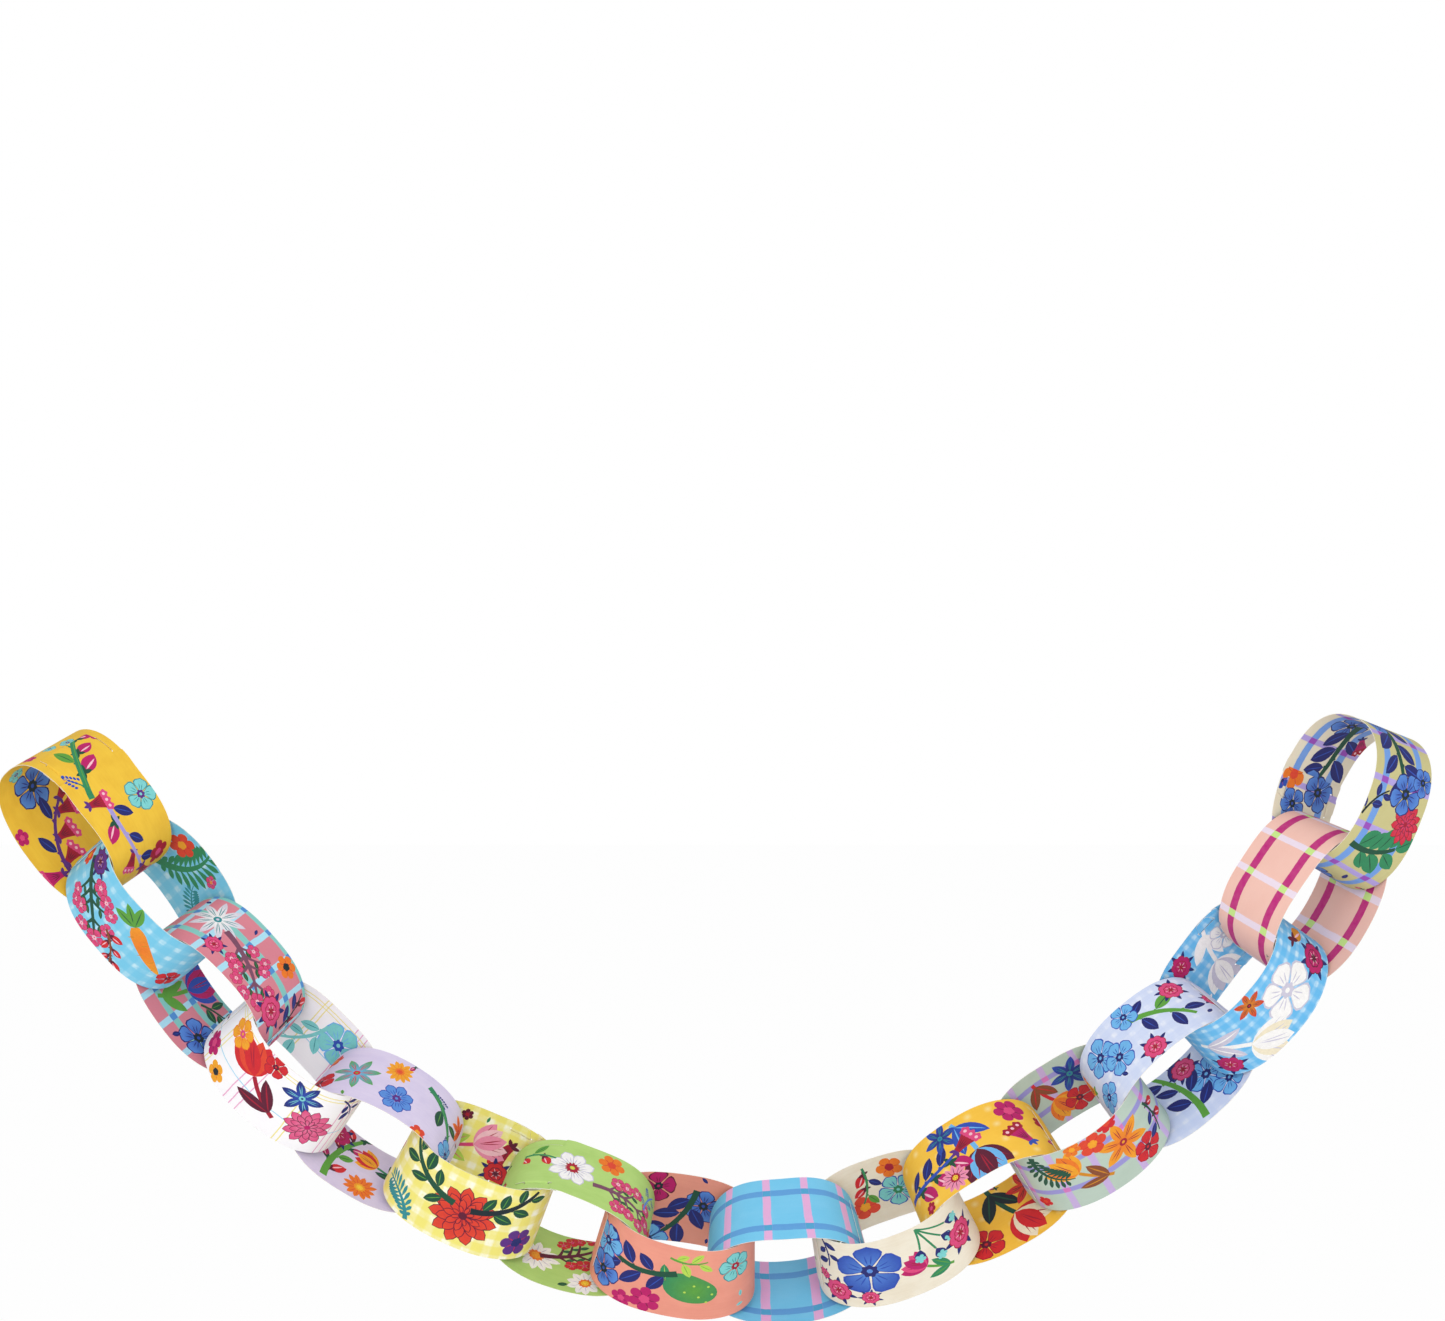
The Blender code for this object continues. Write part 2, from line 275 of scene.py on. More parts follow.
class Garland:
    """Where the card of every link is. Places along the line come from the CAD boxes."""

    def __init__(self, nodes):
        self.oval = Oval()
        self.shift = np.zeros(3)
        boxes = [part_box(node) for node in nodes]
        targets = [(np.array(low) + np.array(high)) / 2 / METRES for low, high in boxes]
        middles = [FIRST_PITCH * index for index in range(len(nodes))]
        for _ in range(8):
            self.line = ChainLine(middles, self.oval.half_length + STRIP_WIDTH)
            centres = [self.rough_centre(index) for index in range(len(nodes))]
            self.shift = targets[0] - centres[0]
            for index, (target, centre) in enumerate(zip(targets, centres)):
                slope = float(self.line.slope(middles[index]))
                ahead = np.array((math.cos(slope), 0, math.sin(slope)))
                middles[index] += float((target - centre - self.shift) @ ahead)
        for index, target in enumerate(targets):
            off = np.abs(target - self.rough_centre(index) - self.shift).max()
            print(nodes[index], "is", round(float(off), 3), "mm off its CAD box")

    def rough_centre(self, index):
        along, across = np.meshgrid(np.arange(0, GIRTH, 2.0), (-HALF_WIDTH, HALF_WIDTH))
        points = [self.at(index, along.ravel(), across.ravel(), side * CARD / 2, 0) for side in (-1, 1)]
        points = np.concatenate(points) - self.shift
        return (points.min(axis=0) + points.max(axis=0)) / 2

    def at(self, index, along, across, height, warped=1):
        """Points of a link's card, in millimetres, at a height over its middle layer."""
        lap_start = HANG[index][3] * self.oval.length - LAP / 2
        x, z, out_x, out_z = self.oval.at(lap_start + along)
        turn = (lap_start + along) / self.oval.length
        off = lift(along, across) + warped * warp(index, turn, across) + height
        roll = ROLL if index % 2 else -ROLL
        distance = self.line.middles[index] + x + out_x * off
        return self.line.place(distance, across, z + out_z * off, roll) + self.shift

    def normals(self, index, along, across):
        """Outward normals of a link's card."""
        step = 0.05
        ahead = self.at(index, along + step, across, 0) - self.at(index, along - step, across, 0)
        aside = self.at(index, along, across + step, 0) - self.at(index, along, across - step, 0)
        normal = np.cross(aside, ahead)
        return normal / np.linalg.norm(normal, axis=1, keepdims=True)


# Shapes of ink, drawn in millimetres round their own middle


class Shape:
    """A flat area of ink: its outline, its colour, and the colour it shades to at the rim."""

    def __init__(self, points, colour, rim=None, heart=(0.0, 0.0)):
        self.points = np.array(points, dtype=float)
        self.colour = np.array(linear(colour))
        self.rim = np.array(linear(rim or colour))
        self.heart = np.array(heart, dtype=float)
        self.reach = max(1e-3, np.linalg.norm(self.points - self.heart, axis=1).max())

    def moved(self, along=0.0, across=0.0, angle=0.0, size=1.0):
        c, s = math.cos(angle) * size, math.sin(angle) * size
        spin = np.array(((c, s), (-s, c)))
        copy = Shape.__new__(Shape)
        copy.points = self.points @ spin + (along, across)
        copy.heart = self.heart @ spin + (along, across)
        copy.colour, copy.rim, copy.reach = self.colour, self.rim, self.reach * size
        return copy

    def shade(self, points):
        share = np.clip(np.linalg.norm(points - self.heart, axis=1) / self.reach, 0, 1)[:, None]
        return self.colour + (self.rim - self.colour) * share


def moved(shapes, **how):
    return [shape.moved(**how) for shape in shapes]


def around(count, start=0.0):
    return np.linspace(0, 2 * math.pi, count, endpoint=False) + start


def blob(radius, lobes=0, depth=0.0, centre=(0.0, 0.0), squash=1.0, count=None):
    """A round outline, wavy if it has lobes."""
    angle = around(count or max(9, 6 * lobes, int(radius * 5)))
    reach = radius * (1 + depth * np.cos(lobes * angle))
    return np.stack((reach * np.cos(angle) + centre[0], reach * np.sin(angle) * squash + centre[1]), 1)


def petal(length, width, angle=0.0, start=0.0, fullness=1.4):
    """An outline from the middle outwards, widest towards its far end."""
    share = np.linspace(0, 1, 8)
    half = width / 2 * np.sin(math.pi * share ** fullness) ** 0.75
    half[0] = half[-1] = 0
    along = start + share * length
    points = np.concatenate((np.stack((along, half), 1), np.stack((along, -half), 1)[-2:0:-1]))
    c, s = math.cos(angle), math.sin(angle)
    return points @ np.array(((c, s), (-s, c)))


def lens(length, width, angle=0.0, start=0.0):
    """A leaf's outline, pointed at both ends."""
    return petal(length, width, angle, start, fullness=0.95)


def ribbon(path, widths):
    """A stroke of changing width along a path."""
    path = np.array(path, dtype=float)
    run = np.gradient(path, axis=0)
    run /= np.linalg.norm(run, axis=1, keepdims=True)
    side = np.stack((-run[:, 1], run[:, 0]), 1) * np.array(widths)[:, None] / 2
    return np.concatenate((path + side, (path - side)[::-1]))


def arc(length, bend, count=9):
    """Points of a stem from the middle outwards that turns by bend radians in all."""
    turn = np.linspace(0, bend, count)
    step = length / (count - 1)
    x = np.concatenate(([0.0], np.cumsum(np.cos(turn[1:] - bend / count)))) * step
    y = np.concatenate(([0.0], np.cumsum(np.sin(turn[1:] - bend / count)))) * step
    return np.stack((x, y), 1), turn


def at_spot(shapes, spot, angle, size=1.0):
    return moved(shapes, along=spot[0], across=spot[1], angle=angle, size=size)


def scallop(radius, lobes=5, depth=0.3, centre=(0.0, 0.0), squash=1.0):
    """The outline of a flower with round petals that meet in notches."""
    angle = around(8 * lobes)
    reach = radius * (1 - depth + depth * np.abs(np.cos(lobes * angle / 2)) ** 0.6)
    return np.stack((reach * np.cos(angle) + centre[0], reach * np.sin(angle) * squash + centre[1]), 1)


def daisy(rng, size, petals="white", shade="mist", ring="orange", heart="yellow", count=12):
    shapes = []
    for angle in around(count, rng.random()):
        angle += rng.uniform(-0.07, 0.07)
        length = size * rng.uniform(0.9, 1.05)
        shapes.append(Shape(petal(length, size * 4.2 / count, angle), petals))
        shapes.append(Shape(lens(length * 0.62, size * 0.045, angle + 0.04, size * 0.2), shade))
    shapes.append(Shape(blob(size * 0.32, 11, 0.1), ring))
    shapes.append(Shape(blob(size * 0.19), heart))
    for angle in around(5, rng.random()):
        spot = (size * 0.11 * math.cos(angle), size * 0.11 * math.sin(angle))
        shapes.append(Shape(blob(size * 0.035, centre=spot, count=6), ring))
    return shapes


def blossom(rng, size, petals="sky", line="blue", heart="navy", tip=None, count=5):
    """Broad round petals with a darker line round each."""
    shapes = []
    width = size * 4.4 / count
    for angle in around(count, rng.random()):
        length = size * rng.uniform(0.93, 1.03)
        shapes.append(Shape(petal(length, width, angle, fullness=1.9), line))
        inner = petal(length * 0.92, width * 0.84, angle, size * 0.03, fullness=1.9)
        shapes.append(Shape(inner, petals, tip))
        for side in (-0.16, 0.16):
            shapes.append(Shape(lens(length * 0.4, size * 0.045, angle + side, size * 0.25), line))
    shapes.append(Shape(blob(size * 0.24, 7, 0.12), heart))
    shapes.append(Shape(blob(size * 0.09, count=7), petals))
    return shapes


def star(rng, size, petals="orange", tip="poppy", heart="maroon", count=6, width=2.6):
    """Pointed petals with a vein each."""
    shapes = []
    for angle in around(count, rng.random()):
        shapes.append(Shape(lens(size, size * width / count, angle), petals, tip))
        for side in (-0.09, 0.09):
            shapes.append(Shape(lens(size * 0.62, size * 0.035, angle + side, size * 0.14), heart))
    shapes.append(Shape(blob(size * 0.15), heart))
    shapes.append(Shape(blob(size * 0.06, count=7), tip))
    return shapes


def dahlia(rng, size, petals="red", tip="poppy", line="maroon", heart="maroon", count=11, rings=4):
    """Rings of petals, each with a line round it, smaller towards the middle."""
    shapes = []
    for ring in range(rings):
        reach = size * (1 - ring / (rings + 0.6))
        rim = size * 0.022
        for angle in around(count - ring, rng.random() + ring):
            width = reach * 4.6 / count
            shapes.append(Shape(petal(reach, width, angle, fullness=1.7), line))
            inner = petal(reach - 2 * rim, width - 2.4 * rim, angle, rim, fullness=1.7)
            shapes.append(Shape(inner, petals, tip))
    shapes.append(Shape(blob(size * 0.13), heart))
    return shapes


def leaf(rng, size, colour="leaf", vein="forest", broad=0.46):
    shapes = [Shape(lens(size, size * broad * rng.uniform(0.9, 1.1)), colour)]
    shapes.append(Shape(lens(size * 0.92, size * 0.045), vein))
    return shapes


def bough(rng, size, stem="leaf", thick=0.07, bend=0.8, items=(leaf,) * 5, reach=0.28, twig=0.05,
          tip=None, tip_size=0.2):
    """A curved stem with leaves, buds or flowers to both sides and one at its end."""
    path, turn = arc(size, bend * rng.choice((-1, 1)), 16)
    shapes = []
    for number, item in enumerate(items):
        place = 2 + round(number * 12.5 / len(items))
        angle = turn[place] + (0.85 + rng.uniform(-0.15, 0.15)) * (1 if number % 2 else -1)
        shapes += at_spot([Shape(ribbon(((0, 0), (size * twig, 0)), (size * 0.04,) * 2), stem)],
                          path[place], angle)
        spot = path[place] + np.array((math.cos(angle), math.sin(angle))) * size * twig
        shapes += at_spot(item(rng, size * reach * rng.uniform(0.85, 1.12)), spot, angle)
    shapes.append(Shape(ribbon(path, np.linspace(size * thick, size * thick * 0.55, len(path))), stem))
    light = ribbon(path[2:-2] + (0, size * thick * 0.12), np.full(12, size * thick * 0.12))
    shapes.append(Shape(light, "mist" if stem == "white" else "leaf" if stem == "fern" else stem))
    if tip:
        shapes += at_spot(tip(rng, size * tip_size), path[-1], turn[-1])
    return moved(shapes, along=-size * 0.45, across=-(path[-1][1] + path[0][1]) / 2)


def fern(rng, size, colour="fern", leaflets=10, thick=0.09):
    path, turn = arc(size, rng.choice((-1, 1)) * 1.7, 13)
    shapes = [Shape(ribbon(path, np.linspace(size * thick, size * 0.02, len(path))), colour)]
    for place in range(1, leaflets + 1):
        for side in (-1, 1):
            length = size * 0.3 * math.sin(math.pi * (place + 1) / (leaflets + 4))
            outline = petal(length, size * 0.07)
            shapes += at_spot([Shape(outline, colour)], path[place], turn[place] + side * 1.1)
    return moved(shapes, along=-size * 0.42)


def branch(rng, size, bark="bark", flower="rose", line="crimson", heart="yellow", leaves="forest", head=0.1):
    """A forked twig with a small blossom at each tip."""
    path, turn = arc(size, 0.5)
    shapes = [Shape(ribbon(path, np.linspace(size * 0.09, size * 0.03, len(path))), bark)]
    tiny = partial(blossom, petals=flower, line=line, heart=heart)
    for place in (2, 3, 4, 6):
        for side in (-1, 1):
            twig, bent = arc(size * rng.uniform(0.2, 0.34), side * 0.5, 5)
            shoot = [Shape(ribbon(twig, np.linspace(size * 0.045, size * 0.02, 5)), bark)]
            shoot += at_spot(leaf(rng, size * 0.13, leaves, "leaf"), twig[2], -side * 0.9)
            shoot += at_spot(tiny(rng, size * head * rng.uniform(0.8, 1.15)), twig[-1], bent[-1])
            shapes += at_spot(shoot, path[place], turn[place] + side * 0.8)
    shapes += at_spot(tiny(rng, size * head * 1.2), path[-1], 0)
    return moved(shapes, along=-size * 0.5)


def grape(rng, size, berry="blue", stem="fern"):
    """A short upright head of small oval berries."""
    shapes = [Shape(ribbon(((0, 0), (size, 0)), (size * 0.08, size * 0.04)), stem)]
    for step in range(5):
        for side in (-1, 0, 1):
            spot = (size * (0.3 + 0.17 * step - 0.05 * abs(side)), side * size * (0.24 - 0.03 * step))
            shapes += at_spot([Shape(blob(size * 0.095, squash=0.7, count=8), berry)], spot, side * 0.6)
    return shapes


def berries(rng, size, stem="fern", berry="navy", shine="cornflower"):
    path, turn = arc(size, rng.choice((-1, 1)) * 0.6)
    shapes = [Shape(ribbon(path, np.linspace(size * 0.05, size * 0.025, len(path))), stem)]
    for place in range(3, len(path)):
        for side in (-1, 1):
            angle = turn[place] + side * 1.0
            reach = size * 0.16
            spot = path[place] + (math.cos(angle) * reach, math.sin(angle) * reach)
            shapes += at_spot([Shape(lens(reach, size * 0.03), stem)], path[place], angle)
            shapes.append(Shape(blob(size * 0.065, centre=spot, count=9), berry))
            shapes.append(Shape(blob(size * 0.02, centre=spot + size * 0.02, count=5), shine))
    return moved(shapes, along=-size * 0.5)


def tulip(rng, size, cup="red", light="poppy", stem="leaf", leaves="fern", line="crimson"):
    """A cup of petals on a stem with two long leaves."""
    path, turn = arc(size * 0.55, 0.35)
    shapes = [Shape(ribbon(path, np.full(len(path), size * 0.06)), stem)]
    for side in (-1, 1):
        shapes += at_spot(leaf(rng, size * 0.46, leaves, stem, 0.36), path[1], side * 0.5)
    head = []
    for angle, colour in ((0.62, cup), (-0.62, cup), (0.34, light), (-0.34, light), (0.0, cup)):
        head.append(Shape(lens(size * 0.5, size * 0.24, angle), colour))
        head.append(Shape(lens(size * 0.36, size * 0.018, angle + 0.06, size * 0.08), line))
        head.append(Shape(lens(size * 0.32, size * 0.014, angle - 0.08, size * 0.1), line))
    shapes += at_spot(head, path[-1], turn[-1])
    return moved(shapes, along=-size * 0.5)


def bell(rng, size, cup="crimson", lip="rose", calyx="purple"):
    """A bellflower seen from the side, with ribs and a scalloped lip."""
    share = np.linspace(0, 1, 7)
    half = size * (0.14 + 0.26 * share ** 1.5)
    top = np.stack((share * size * 0.8, half), 1)
    rim = [(size * (0.86 + 0.08 * (step % 2)), size * (0.36 - 0.12 * step)) for step in range(7)]
    body = np.concatenate((top, rim, top[::-1] * (1, -1)))
    shapes = [Shape(body, cup)]
    for step in range(3):
        spot = (size * 0.84, size * (0.28 - 0.28 * step))
        shapes.append(Shape(blob(size * 0.19, 5, 0.12, centre=spot), lip))
        shapes.append(Shape(blob(size * 0.07, centre=spot, count=8), "blush"))
    for angle in (-0.3, -0.1, 0.1, 0.3):
        shapes.append(Shape(lens(size * 0.5, size * 0.035, angle, size * 0.1), "maroon"))
    for angle in (2.2, 3.14, 4.1):
        shapes.append(Shape(lens(size * 0.32, size * 0.15, angle), calyx))
    return shapes


def carrot(rng, size, body="orange", groove="ochre", leaves="leaf"):
    """A long root with short grooves and three leaves."""
    share = np.linspace(0, 1, 13)
    half = size * 0.15 * (1 - share ** 1.6) ** 0.8 * np.minimum(1, 0.5 + 4 * share)
    x = (share - 0.4) * size
    shapes = [Shape(np.concatenate((np.stack((x, half), 1), np.stack((x, -half), 1)[-2::-1])), body, "amber")]
    for step in range(6):
        spot = (x[2 * step], half[2 * step] * (0.4 if step % 2 else -0.9))
        shapes += at_spot([Shape(lens(half[2 * step], size * 0.02), groove)], spot, math.pi / 2)
    for angle in (2.5, 3.14, 3.8):
        shapes += at_spot(leaf(rng, size * 0.42, leaves, "forest", 0.4), (x[0], 0), angle)
    return shapes


def pear(rng, size, body="leaf", cheek="fern", speckle="lime", stalk="brown"):
    """A pear with a shaded cheek and fine speckles."""
    angle = around(28)
    reach = size * (0.36 + 0.07 * np.cos(angle) + 0.05 * np.cos(2 * angle))
    outline = np.stack((reach * np.cos(angle) * 1.2, reach * np.sin(angle)), 1)
    shapes = [Shape(outline, body, cheek)]
    places = ((0.16, -0.2), (-0.12, -0.12), (0.1, 0.04), (-0.2, -0.28), (0.0, -0.32), (-0.1, 0.14))
    for across, along in places:
        spot = (size * along, size * across)
        shapes.append(Shape(blob(size * 0.024, centre=spot, count=7), speckle))
    shapes += at_spot([Shape(lens(size * 0.24, size * 0.05), stalk)], (size * 0.52, 0), 0.2)
    for turn in (1.1, -0.9):
        shapes += at_spot(leaf(rng, size * 0.36, cheek, "lime"), (size * 0.54, 0), turn)
    return shapes


def bud(rng, size, colour="rose", calyx="forest"):
    shapes = [Shape(lens(size * 1.1, size * 0.62), colour)]
    shapes.append(Shape(lens(size * 0.7, size * 0.1, 0.12, size * 0.2), "blush"))
    for angle in (-0.6, 0.6, 2.6, 3.7):
        shapes.append(Shape(lens(size * 0.5, size * 0.2, angle, -size * 0.1), calyx))
    return shapes


def rosette(rng, size, petals="rose", line="crimson", leaves="navy"):
    """A small full flower on a ring of pointed leaves."""
    shapes = [Shape(lens(size * 1.25, size * 0.34, angle), leaves) for angle in around(7, rng.random())]
    for reach, colour in ((0.86, line), (0.8, petals), (0.5, line), (0.44, petals), (0.24, line)):
        shapes.append(Shape(scallop(size * reach, 8, 0.14), colour))
    for angle in around(6):
        shapes.append(Shape(lens(size * 0.3, size * 0.05, angle, size * 0.12), "blush"))
    return shapes


def confetti(rng, size, colour="poppy", heart="amber", line="red"):
    """A small flat flower of five or six round petals."""
    lobes = rng.choice((5, 6))
    shapes = [Shape(scallop(size, lobes, 0.3, squash=rng.uniform(0.85, 1)), colour)]
    for angle in around(lobes, math.pi / lobes):
        shapes.append(Shape(lens(size * 0.5, size * 0.05, angle, size * 0.2), line))
    shapes.append(Shape(scallop(size * 0.34, 5, 0.2), heart))
    return shapes


def cones(rng, size, head="navy", crown="aqua", stem="fern"):
    """Four small cone-shaped flowers on thin stems."""
    shapes = []
    for angle in (-0.5, -0.16, 0.16, 0.5):
        length = size * rng.uniform(0.55, 0.8)
        path, turn = arc(length, angle * 0.5, 5)
        stalk = [Shape(ribbon(path, np.full(5, size * 0.045)), stem)]
        stalk += at_spot([Shape(petal(size * 0.3, size * 0.24), head)], path[-1], turn[-1])
        tip = path[-1] + (size * 0.25 * math.cos(turn[-1]), size * 0.25 * math.sin(turn[-1]))
        stalk.append(Shape(scallop(size * 0.12, 5, 0.4, centre=tip), crown))
        shapes += moved(stalk, angle=angle)
    return moved(shapes, along=-size * 0.5)


# Grounds of the papers, as nodes that read the flat strip in millimetres


def add_node(tree, kind, inputs=None, **settings):
    """A node with its settings, and a value or a link for each of its inputs named here."""
    node = tree.nodes.new(kind)
    for key, value in settings.items():
        setattr(node, key, value)
    for key, value in (inputs or {}).items():
        if isinstance(value, bpy.types.NodeSocket):
            tree.links.new(value, node.inputs[key])
        else:
            node.inputs[key].default_value = value
    return node


class Paper:
    """A material for one link's card, with short names for its nodes."""

    def __init__(self, name, seed):
        self.material = bpy.data.materials.new(name + "_paper")
        self.material.use_nodes = True
        self.tree = self.material.node_tree
        self.shader = self.tree.nodes["Principled BSDF"]
        flat = self.add("ShaderNodeUVMap", uv_map="Strip").outputs["UV"]
        parts = self.add("ShaderNodeSeparateXYZ", {0: flat})
        self.along, self.across = parts.outputs[0], parts.outputs[1]
        self.ink = self.add("ShaderNodeVertexColor", layer_name="Ink")
        self.seed = seed

    def add(self, kind, inputs=None, **settings):
        return add_node(self.tree, kind, inputs, **settings)

    def math(self, operation, *values):
        return self.add("ShaderNodeMath", dict(enumerate(values)), operation=operation).outputs[0]

    def step(self, value, low, high):
        """Smooth step from 0 at low to 1 at high; low may be the larger."""
        inputs = {"Value": value, "From Min": low, "From Max": high}
        node = self.add("ShaderNodeMapRange", inputs, interpolation_type="SMOOTHSTEP")
        return node.outputs[0]

    def range(self, value, low, high):
        """A share from 0 to 1 laid out from low to high."""
        return self.math("MULTIPLY_ADD", value, high - low, low)

    def mix(self, share, first, second, blend="MIX"):
        colours = [(*c, 1.0) if isinstance(c, tuple) else c for c in (first, second)]
        inputs = {0: share, 6: colours[0], 7: colours[1]}
        return self.add("ShaderNodeMix", inputs, data_type="RGBA", blend_type=blend).outputs[2]

    def noise(self, per_along, per_across, detail=2.0, offset=0.0):
        """Noise with so many waves to the millimetre along and across."""
        x = self.math("MULTIPLY", self.along, per_along)
        y = self.math("MULTIPLY", self.across, per_across)
        vector = self.add("ShaderNodeCombineXYZ", {0: x, 1: y, 2: self.seed * 7.3 + offset})
        inputs = {"Vector": vector.outputs[0], "Scale": 1.0, "Detail": detail}
        return self.add("ShaderNodeTexNoise", inputs).outputs["Fac"]

    def wobbly(self, coordinate, offset):
        """The coordinate as a brush would follow it."""
        slow = self.range(self.noise(0.05, 0.05, 1.0, offset), -0.8, 0.8)
        quick = self.range(self.noise(0.6, 0.6, 1.0, offset + 3), -0.2, 0.2)
        return self.math("ADD", coordinate, self.math("ADD", slow, quick))

    def band(self, coordinate, pitch, place, width, soft=0.25, wobble=True, offset=0.0):
        """Bands across a coordinate: 1 inside them, 0 outside."""
        if wobble:
            coordinate = self.wobbly(coordinate, offset)
        shifted = self.math("SUBTRACT", coordinate, place - pitch / 2)
        within = self.math("FLOORED_MODULO", shifted, pitch)
        away = self.math("ABSOLUTE", self.math("SUBTRACT", within, pitch / 2))
        return self.step(away, width / 2 + soft, width / 2 - soft)


def mottled(paper, base, cloud, amount=0.7):
    """A wash with clouds and faint brush strokes along the strip, times the face's painted shade."""
    share = paper.step(paper.noise(0.07, 0.09, 3.0), 0.35, 0.7)
    strokes = paper.step(paper.noise(0.06, 0.8, 2.0, 30), 0.3, 0.75)
    share = paper.math("MULTIPLY_ADD", strokes, 0.3, paper.math("MULTIPLY", share, 0.7))
    wash = paper.mix(paper.math("MULTIPLY", share, amount), linear(base), linear(cloud))
    return paper.mix(1.0, wash, paper.ink.outputs["Color"], "MULTIPLY")


def gingham(paper, base, light, pitch, width=0.36, stripe=0.1, strength=0.8, cloud=None):
    """Pale brushed stripes both ways: they show faintly, and plainly where they cross."""
    a = paper.band(paper.along, pitch, 0, pitch * width, 0.8, offset=11)
    b = paper.band(paper.across, pitch, pitch * 0.3, pitch * width, 0.8, offset=17)
    brush = paper.step(paper.noise(0.25, 0.25, 3.0), 0.25, 0.75)
    colour = mottled(paper, base, cloud or base, 0.8)
    either = paper.math("MULTIPLY", paper.math("MAXIMUM", a, b), paper.range(brush, stripe * 0.5, stripe * 2))
    colour = paper.mix(either, colour, linear(light))
    both = paper.math("MULTIPLY", a, b)
    both = paper.math("MULTIPLY", both, paper.range(brush, strength - 0.45, strength + 0.2))
    return paper.mix(both, colour, linear(light))


def plaid(paper, base, along, across, crossing, widths=(5.2, 4.4), cloud=None, pitches=(29.0, 28.0),
          places=(13.4, 8.0)):
    """Lengthwise bands and cross bands, with another colour where they cross."""
    colour = mottled(paper, base, cloud or base, 0.5)
    long = paper.band(paper.across, pitches[0], places[0], widths[0], 0.16, offset=5)
    short = paper.band(paper.along, pitches[1], places[1], widths[1], 0.16, offset=9)
    wash = paper.range(paper.noise(0.3, 0.3, 3.0), 0.88, 1.04)
    colour = paper.mix(paper.math("MULTIPLY", long, wash), colour, linear(along))
    colour = paper.mix(paper.math("MULTIPLY", short, wash), colour, linear(across))
    return paper.mix(paper.math("MULTIPLY", long, short), colour, linear(crossing))


def lined(paper, base, sets):
    """Thin pen lines: each set is (lengthwise?, pitch, places, colour)."""
    colour = mottled(paper, base, "F4F1F8", 0.5)
    for number, (lengthwise, pitch, places, ink) in enumerate(sets):
        coordinate = paper.wobbly(paper.across if lengthwise else paper.along, 20 + number)
        for place in places:
            line = paper.band(coordinate, pitch, place, 0.7, 0.18, wobble=False)
            colour = paper.mix(paper.math("MULTIPLY", line, 0.9), colour, linear(ink))
    return colour


def spotted(paper, base, pale, pitch, cloud):
    """Soft pale dabs on a wash."""
    colour = mottled(paper, base, cloud, 0.6)
    a = paper.band(paper.along, pitch, 0, pitch * 0.22, pitch * 0.14, offset=2)
    b = paper.band(paper.across, pitch, pitch / 2, pitch * 0.22, pitch * 0.14, offset=4)
    return paper.mix(paper.math("MULTIPLY", paper.math("MULTIPLY", a, b), 0.7), colour, linear(pale))


def finish_paper(paper, ground):
    """Lay the ink on the ground, with brush streaks, fibres and a slightly coated surface."""
    streak = paper.range(paper.noise(0.8, 3.2, 3.0, 40), 0.8, 1.14)
    tone = paper.range(paper.noise(0.35, 0.3, 2.0, 44), 0.9, 1.1)
    stroke = paper.math("MULTIPLY", streak, tone)
    strokes = paper.add("ShaderNodeCombineXYZ", {0: stroke, 1: stroke, 2: stroke}).outputs[0]
    painted = paper.mix(1.0, paper.ink.outputs["Color"], strokes, "MULTIPLY")
    colour = paper.mix(paper.ink.outputs["Alpha"], ground, painted)
    grain = paper.range(paper.noise(2.6, 2.6, 2.0, 50), 0.955, 1.035)
    grains = paper.add("ShaderNodeCombineXYZ", {0: grain, 1: grain, 2: grain}).outputs[0]
    colour = paper.mix(1.0, colour, grains, "MULTIPLY")
    paper.tree.links.new(colour, paper.shader.inputs["Base Color"])
    rough = paper.range(paper.noise(0.5, 0.5, 3.0, 60), 0.54, 0.72)
    paper.tree.links.new(rough, paper.shader.inputs["Roughness"])
    fibres = paper.noise(3.5, 5.0, 4.0, 70)
    bump = paper.add("ShaderNodeBump", {"Strength": 0.12, "Distance": 0.00005, "Height": fibres})
    paper.tree.links.new(bump.outputs[0], paper.shader.inputs["Normal"])
    paper.shader.inputs["Specular IOR Level"].default_value = 0.35
    return paper.material


# The prints: for each link its ground, its large motifs and the small ones scattered between.
# A large motif has a place round the loop in turns, a place across, a size and an angle. Those of
# the outside come first, then those of the inside. The face shades are painted shade on the
# outside's and the inside's ground.

OUT, IN = 0, 1


class Print:
    def __init__(self, ground, outside=(), inside=(), small=(), count=0, face_shades=("FFFFFF", "FFFFFF")):
        self.ground, self.small, self.count = ground, small, count
        self.large = [(OUT, *row) for row in outside] + [(IN, *row) for row in inside]
        # Each face's ground is multiplied by its face shade: painted shade, white where none is painted.
        self.face_shades = [linear(face_shade) for face_shade in face_shades]


def dyed(motif, colours, **settings):
    """A motif in other colours, given in the order in which its function takes them."""
    def draw(rng, size, **changes):
        return motif(rng, size, *colours.split(), **{**settings, **changes})
    return draw


NAVY_LEAF = dyed(leaf, "navy blue", broad=0.5)
AQUA_LEAF = dyed(leaf, "aqua teal", broad=0.5)
LIME_LEAF = dyed(leaf, "lime leaf", broad=0.5)
GREEN_LEAF = dyed(leaf, "leaf forest", broad=0.5)
DARK_LEAF = dyed(leaf, "forest leaf", broad=0.5)
BLUE_BLOSSOM = dyed(blossom, "sky blue navy")
DEEP_BLOSSOM = dyed(blossom, "blue navy ink cornflower")
RED_BLOSSOM = dyed(blossom, "red crimson maroon")
PINK_BLOSSOM = dyed(blossom, "rose crimson amber")
WHITE_BLOSSOM = dyed(blossom, "white mist mist")
ROSE_BUD = dyed(bud, "magenta forest")
RED_BUD = dyed(bud, "red maroon")
BLUE_GRAPE = dyed(grape, "blue fern")
POPPY_DOT = dyed(confetti, "poppy amber")
MAGENTA_DOT = dyed(confetti, "magenta rose maroon")
